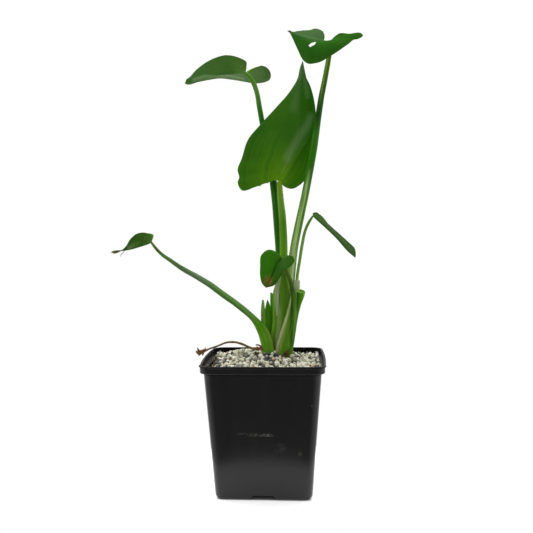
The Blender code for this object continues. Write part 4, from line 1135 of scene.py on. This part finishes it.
def tip_stain(share, strength=1.0):
    """Stain over the last share of a blade."""
    return lambda points, leaf: strength * np.clip((leaf[:, 1] - 1 + share) / share * 1.6, 0.0, 1.0)


def hole_frame():
    """Axis of the slit, and the directions along and across it."""
    axis = unit(np.array(HOLE_AXIS))
    level = unit(np.cross(axis, (0.0, 0.0, 1.0)))
    rise = np.cross(level, axis)
    long_side = level * math.cos(HOLE_TILT) + rise * math.sin(HOLE_TILT)
    short_side = rise * math.cos(HOLE_TILT) - level * math.sin(HOLE_TILT)
    return axis, long_side, short_side


def cut_hole(made):
    """Torn slit through the tall right blade."""
    axis, long_side, short_side = hole_frame()
    angles = 2 * math.pi * np.arange(HOLE_SIDES)[:, None] / HOLE_SIDES
    torn = 1 + 0.12 * np.sin(5 * angles) + 0.07 * np.sin(9 * angles + 1.0)
    rim = torn * (HOLE_HALF[0] * np.cos(angles) * long_side + HOLE_HALF[1] * np.sin(angles) * short_side)
    points = np.vstack([np.array(HOLE_CENTRE) + end * HOLE_REACH * axis + rim for end in (-1, 1)])
    cut_out(made, points, loft_faces(2, HOLE_SIDES))


def hole_stain(points, leaf):
    """Brown edge round the slit, mostly below it, and the brown tip."""
    axis, long_side, short_side = hole_frame()
    away = points - np.array(HOLE_CENTRE)
    u, v = away @ long_side / HOLE_HALF[0], away @ short_side / HOLE_HALF[1]
    ring = np.clip(1.0 - 2.2 * np.abs(np.hypot(u, v) - 1.0), 0.0, 1.0) * np.where(v < 0.1, 0.9, 0.35)
    return np.maximum(ring * (np.abs(away @ axis) < HOLE_REACH), tip_stain(0.05)(points, leaf))


def front_stain(points, leaf):
    """Brown streak along the front blade's lower midrib, the brown patch beside it, and the black tip."""
    streak = 0.5 * np.exp(-(leaf[:, 0] / 0.2) ** 2) * np.clip((leaf[:, 1] - 0.62) / 0.2, 0.0, 1.0)
    patch = spot(points, (4.0, -12.5, 193), (6.5, 9, 7.5), 0.58)
    return np.maximum(np.maximum(streak, patch), np.clip((leaf[:, 1] - 0.955) / 0.03, 0.0, 1.0))


def arching_stain(points, leaf):
    """Tan patch below the arching blade's middle, and its brown twisted tip."""
    patch = spot(points, (-131, 8, 227), (3.2, 5, 2.2), 0.42)
    return np.maximum(tip_stain(0.13, 0.7)(points, leaf), patch)


# Painted highlights on the blades, pale bands where sheen falls: the line that each follows, its half width
# and its strength
PAINTED_HIGHLIGHTS = {
    "middle_blade": [
        ([(45, 18, 354), (42, 17, 346), (38, 15, 339), (34, 13, 332), (28, 11, 322), (23, 8, 311)],
         4.6, 0.40),
        ([(24, 9, 313), (20, 8, 303), (17.5, 7, 297)], 1.6, 0.22),
        ([(37.9, 9.7, 404), (35.6, 9.5, 391)], 4.5, 0.5),
        ([(36, 9.5, 394), (33, 9, 376), (29, 9, 360)], 5.0, 0.2),
        ([(40.2, 10.3, 388), (43, 11.5, 372)], 2.6, 0.3),
    ],
    "tall_left_blade": [
        ([(-75, 45, 403), (-61.6, 38.5, 404), (-41, 36, 403), (-24, 41, 401)], 3.0, 0.5),
        ([(-14, 24, 401), (-4, 34, 405)], 6.0, 0.22),
    ],
    "side_blade": [([(50, 6, 256.5), (68, 5, 237), (84, 4, 221)], 2.2, 0.22)],
    "arching_blade": [([(-117, 6, 231.5), (-126, 7.5, 229.5), (-135, 9, 225.5)], 2.4, 0.55)],
}

# Deep and light colour, fan with its reach, the colour painted on the right half for its sheen and shade with
# its strength,
# then gloss, specular and relief
LEAF_LOOKS = {
    "leaf_upper": [(0.024, 0.158, 0.004), (0.058, 0.238, 0.010), ((0.170, 0.420, 0.000), 0.58),
                   ((0.024, 0.195, 0.001), 0.6), 0.45, 0.1, 0.1],
    "leaf_upper_small": [(0.045, 0.190, 0.006), (0.095, 0.290, 0.022), ((0.130, 0.330, 0.040), 0.3),
                         ((0.045, 0.165, 0.010), 0.6), 0.45, 0.1, 0.03],
    "leaf_upper_front": [(0.020, 0.090, 0.004), (0.042, 0.150, 0.010), ((0.090, 0.260, 0.020), 0.3),
                         ((0.042, 0.225, 0.006), 0.9), 0.45, 0.03, 0.03],
    "leaf_upper_side": [(0.032, 0.190, 0.001), (0.065, 0.290, 0.006), ((0.120, 0.330, 0.020), 0.3),
                        ((0.030, 0.240, 0.002), 0.6), 0.45, 0.03, 0.02],
    # painted sheen: this right half is tinted grey-green, with no specular of its own
    "leaf_upper_tall": [(0.022, 0.112, 0.008), (0.038, 0.158, 0.015), ((0.050, 0.190, 0.008), 0.3),
                        ((0.085, 0.175, 0.062), 0.9), 0.45, 0.0, 0.1],
    # painted sheen: the grey-green right half of the underside
    "leaf_under": [(0.026, 0.118, 0.002), (0.055, 0.175, 0.014), ((0.170, 0.330, 0.060), 0.4),
                   ((0.105, 0.210, 0.055), 0.6), 0.5, 0.08, 0.1],
}

# Upper look of each blade, how far its halves bulge, and its stains
BLADE_FINISH = {
    "tall_right_blade": ("leaf_upper_tall", 1.0, hole_stain),
    "tall_left_blade": ("leaf_upper", 1.0, tip_stain(0.03, 0.5)),
    "middle_blade": ("leaf_upper", 1.6, tip_stain(0.012, 0.6)),
    "arching_blade": ("leaf_upper_small", 0.6, arching_stain),
    "front_blade": ("leaf_upper_front", 0.8, front_stain),
    "side_blade": ("leaf_upper_side", 0.4, tip_stain(0.03, 0.5)),
}


def make_blades():
    """The six leaf blades."""
    looks = {name: leaf_look(name, *colours) for name, colours in LEAF_LOOKS.items()}
    for name, (look, bulge, stain) in BLADE_FINISH.items():
        made = make_blade(name, looks[look], looks["leaf_under"], bulge, stain)
        if name == "tall_right_blade":
            cut_hole(made)


# Grit

# Stones that stand out: place, radius and place on the ramp
SINGLE_STONES = [
    (-48.0, 38.0, 2.9, 0.76), (-43.4, 26.0, 2.6, 0.66), (-35.5, 30.0, 2.0, 0.10), (-30.0, 36.0, 2.8, 0.70),
    (-29.0, 24.0, 2.6, 0.62), (-25.2, 31.0, 3.0, 0.60), (-20.0, 26.0, 2.7, 0.56), (-16.2, 22.0, 3.0, 0.80),
    (-30.9, 13.1, 2.9, 0.86), (-22.9, 7.0, 2.8, 0.70), (-17.5, 13.5, 2.2, 0.12), (-4.2, 0.4, 3.0, 0.80),
    (2.6, 0.8, 1.8, 0.06), (10.6, 0.5, 2.0, 0.03), (8.2, -6.0, 2.0, 0.93), (19.8, -5.0, 3.0, 0.84),
    (27.8, 13.0, 2.9, 0.60), (-6.5, 0.5, 1.9, 0.10), (-29.6, -19.7, 2.6, 0.84), (-18.5, -9.4, 2.6, 0.82),
    (44.7, -20.0, 2.3, 0.95), (31.7, 15.6, 2.2, 0.08), (22.2, -18.0, 2.4, 0.05), (-39.2, 3.7, 2.3, 0.06),
    (36.0, -6.0, 2.9, 0.84), (42.0, 4.0, 2.8, 0.74), (33.0, -16.0, 2.8, 0.86), (46.5, -9.0, 2.6, 0.72),
    (38.0, 14.0, 2.7, 0.68), (12.0, -14.0, 2.9, 0.82), (40.0, -24.0, 2.7, 0.80), (28.0, -27.0, 2.8, 0.70),
]
# A small pile against the front stem's foot: place, radius and place on the ramp
LEANING_STONES = [
    (23.2, -3.6, 117.0, 2.6, 0.70), (28.2, -2.6, 117.2, 2.7, 0.40), (25.9, -0.9, 120.4, 2.3, 0.58),
    (29.6, 1.6, 119.8, 2.2, 0.30),
]


def grit_height(x, y):
    """Top of the grit: its mounds, with the bumps of its stones."""
    height = GRIT_TOP + GRIT_BUMP * noise.noise(Vector((x, y, 3.0)) / GRIT_BUMP_SIZE)
    for centre, top, spread in MOUNDS:
        height += top * math.exp(-(math.hypot(x - centre[0], y - centre[1]) / spread) ** 2)
    return height


def make_bed():
    """Dark layer that the stones lie in."""
    outer = np.array(square_ring(body_half(SOIL_TOP) - WALL - GAP, SOIL_TOP + GAP))
    centre = np.array([*CROWN_CENTRE, 0.0])
    rings = [outer]
    for step in range(BED_STEPS):
        ring = outer + (centre - outer) * step / BED_STEPS
        ring[:, 2] = [grit_height(x, y) - BED_DEPTH for x, y, _ in ring]
        rings.append(ring)
    look = bed_look("grit_bed", (0.03, 0.026, 0.02), (0.12, 0.11, 0.085))
    bed = piece("grit_bed", np.vstack(rings), loft_faces(len(rings), len(outer)), look, "grit", 60.0)
    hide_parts("gravel", "crown")


def stone_form(rng, base, radius):
    """One worn angular stone round the origin."""
    form = base * rng.uniform(0.75, 1.15, 3)
    for _ in range(9):
        face = unit(rng.normal(size=3))
        limit = rng.uniform(0.62, 0.9)
        form = form - np.maximum(form @ face - limit, 0.0)[:, None] * face * 0.9
    turn = np.array(Matrix.Rotation(rng.uniform(0, 2 * math.pi), 3, Vector(unit(rng.normal(size=3)))))
    return form @ turn.T * radius


def ball(level):
    """Points and faces of a fine ball."""
    build = bmesh.new()
    bmesh.ops.create_icosphere(build, subdivisions=level, radius=1.0)
    points = np.array([v.co for v in build.verts])
    faces = [tuple(v.index for v in f.verts) for f in build.faces]
    build.free()
    return points, faces


def stone_shade(rng):
    """Place of a stone's colour on the ramp: cream, grey, slate or orange."""
    low, high = STONE_KINDS[rng.choice(len(STONE_KINDS), p=STONE_SHARES)]
    return rng.uniform(low, high)


def on_grit(x, y, radius):
    """Whether a stone would lie within the collar, and a little short of the left wall."""
    reach = STONE_REACH - radius
    straight = COLLAR_HALF - BODY_CORNER
    if max(x, -y) > reach or y > BED_HALF - radius or x - radius < LEFT_GRIT + 0.1 * (32.0 - y):
        return False
    corner = math.hypot(max(abs(x) - straight, 0.0), max(abs(y) - straight, 0.0))
    return min(abs(x), abs(y)) <= straight or corner <= BODY_CORNER - WALL - 0.2 - radius


def stone_places(rng, sizes, drop, spacing, stems, placed=()):
    """Centres, sizes and shades of stones spread over the grit, clear of the stems and of each other."""
    cell = 2.2 * sizes[1]
    grid, places = {}, []

    def keep(place):
        grid.setdefault((int(place[0] // cell), int(place[1] // cell)), []).append(place)
        places.append(place)

    for place in placed:
        keep(place)
    for _ in range(STONE_TRIES):
        if len(places) >= STONE_COUNT:
            break
        x, y = rng.uniform(-STONE_REACH, STONE_REACH, 2)
        radius = sizes[0] + (sizes[1] - sizes[0]) * rng.uniform() ** 1.6
        side = max(abs(x), abs(y))
        if side > BED_HALF - radius:
            radius = min(radius, SHELF_STONE)
        column, row = int(x // cell), int(y // cell)
        close = [p for i in (-1, 0, 1) for j in (-1, 0, 1) for p in grid.get((column + i, row + j), ())]
        if not on_grit(x, y, radius) or any(
                math.hypot(x - p[0], y - p[1]) < spacing * (radius + p[3]) for p in close):
            continue
        z = grit_height(x, y) - 0.85 * radius - drop
        if side > BED_HALF - radius:
            z = max(z, SHELF_TOP + 0.8 * radius)
        away = stems.find_nearest(Vector((x, y, z)) * MM)[3]
        if away is None or away >= 0.75 * radius * MM:
            keep((x, y, z, radius, stone_shade(rng)))
    return places


def make_stones(name, rng, places, level, look):
    """Stones at their places, as one piece."""
    base, base_faces = ball(level)
    points, faces, shades = [], [], []
    for start, (x, y, z, radius, shade) in enumerate(places):
        points.append(stone_form(rng, base, radius) + (x, y, z))
        faces += [tuple(start * len(base) + i for i in face) for face in base_faces]
        shades.append(np.full(len(base), shade))
    return piece(name, np.vstack(points), faces, look, "grit", 24.0, shade=np.concatenate(shades))


def crumb_places(rng):
    """Small crumbs along the left wall, where the grit leaves a gap."""
    spread = [(*rng.uniform(*CRUMB_FIELD), rng.uniform(*CRUMB_RADIUS)) for _ in range(CRUMB_COUNT)]
    places = []
    for x, y, radius in spread:
        z = SHELF_TOP + 0.6 * radius if x < -BED_HALF else grit_height(x, y) - 2.2
        places.append((x, y, z, radius, rng.choice(CRUMB_SHADES)))
    return places


def stem_tree():
    """Search tree of everything that grows out of the grit."""
    points, faces = [], []
    for made in bpy.context.scene.objects:
        if made.type == "MESH" and made.get("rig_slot") in ("stem", "sheath", "pale_sheath"):
            start = len(points)
            points += [v.co.copy() for v in made.data.vertices]
            faces += [tuple(start + i for i in p.vertices) for p in made.data.polygons]
    return BVHTree.FromPolygons(points, faces)


def make_grit():
    """Bed, a lower layer of stones that fills the gaps and is darkened as painted shade, and the stones on
    top.
    """
    make_bed()
    look = stone_look()
    stems = stem_tree()
    rng = np.random.default_rng(11)
    # painted shade: the lower layer is darkened
    lower = [(*place[:4], GAP_PAINTED_SHADE * place[4]) for place in stone_places(rng, *LOWER_STONES, stems)]
    single = [(x, y, grit_height(x, y) - 0.55 * radius, radius, shade)
              for x, y, radius, shade in SINGLE_STONES]
    upper = stone_places(rng, *UPPER_STONES, stems, single + LEANING_STONES)
    crumbs = crumb_places(rng)
    make_stones("grit_crumbs", rng, crumbs, 1, look)
    make_stones("grit_low", rng, lower, 2, look)
    make_stones("grit_front", rng, [p for p in upper if p[1] < 0], 3, look)
    make_stones("grit_rear", rng, [p for p in upper if p[1] >= 0], 3, look)


# Studio

def make_camera():
    """The photograph's camera."""
    data = bpy.data.cameras.new("camera")
    data.lens = LENS
    data.sensor_width = SENSOR
    data.clip_start = 0.01
    camera = in_scene("camera", data)
    camera.matrix_world = Matrix.Translation(Vector(CAMERA_PLACE) * MM)
    for angle, axis in ((CAMERA_YAW, "Z"), (90.0 + CAMERA_PITCH, "X"), (CAMERA_ROLL, "Z")):
        camera.matrix_world = camera.matrix_world @ Matrix.Rotation(math.radians(angle), 4, axis)
    bpy.context.scene.camera = camera


def make_floor():
    """Plain white round plate that the pot stands on."""
    build = bmesh.new()
    bmesh.ops.create_circle(build, cap_ends=True, segments=128, radius=FLOOR_RADIUS)
    mesh = bpy.data.meshes.new("floor")
    build.to_mesh(mesh)
    build.free()
    look = Look("floor", roughness=0.9, specular=0.1)
    x, y, _ = look.split(look.place())
    out = look.math("MAXIMUM", look.off(x), look.off(y))
    look.set("Base Color", (0.8, 0.8, 0.8))
    look.set("Emission Color", WHITE)
    look.set("Emission Strength", look.span(out, BODY_HALF_FOOT * MM - 0.003, BODY_HALF_FOOT * MM, 0.0, 0.5))
    mesh.materials.append(look.material)
    floor = in_scene("floor", mesh)
    floor.location.z = -FLOOR_DROP * MM


def make_world():
    """White to look at, but brightest overhead and behind, and dark towards the photographer."""
    world = bpy.data.worlds.new("studio")
    bpy.context.scene.world = world
    world.use_nodes = True
    tree = world.node_tree
    tree.nodes.clear()
    direction = add_node(tree, "ShaderNodeTexCoord").outputs["Generated"]
    total = add_node(tree, "ShaderNodeMath")
    for socket, (axis, low, high, weak, strong) in zip(total.inputs, WORLD_LIGHT):
        toward = add_node(tree, "ShaderNodeVectorMath", {0: direction, 1: Vector(axis).normalized()},
                          operation="DOT_PRODUCT").outputs["Value"]
        inputs = {"Value": toward, "From Min": low, "From Max": high, "To Min": weak, "To Max": strong}
        share = add_node(tree, "ShaderNodeMapRange", inputs, interpolation_type="SMOOTHSTEP")
        feed(socket, share.outputs["Result"])
    light = add_node(tree, "ShaderNodeBackground", {"Color": WHITE, "Strength": total.outputs[0]})
    white = add_node(tree, "ShaderNodeBackground", {"Color": WHITE})
    seen = add_node(tree, "ShaderNodeLightPath").outputs["Is Camera Ray"]
    mix = add_node(tree, "ShaderNodeMixShader", {0: seen, 1: light.outputs[0], 2: white.outputs[0]})
    add_node(tree, "ShaderNodeOutputWorld", {"Surface": mix.outputs[0]})


def make_lights():
    """One weak soft light from above."""
    data = bpy.data.lights.new("key", "SUN")
    data.energy = KEY_STRENGTH
    data.angle = KEY_SPREAD
    in_scene("key", data).rotation_euler = Vector(KEY_FROM).to_track_quat("Z", "Y").to_euler()


def dress_soil():
    """The potting mix keeps its solid and gets its material."""
    soil = frame["nodes"]["soil"]
    soil.data.materials.clear()
    soil.data.materials.append(bed_look("potting_mix", (0.012, 0.008, 0.005), (0.05, 0.032, 0.018)))


def main():
    """Studio first, then the pot, the plant and the grit, whose stones keep clear of the stems."""
    bpy.context.scene.view_settings.view_transform = "Standard"
    make_camera()
    make_world()
    make_lights()
    make_floor()
    make_pot()
    dress_soil()
    make_stems()
    make_dry_bits()
    make_blades()
    make_grit()


main()
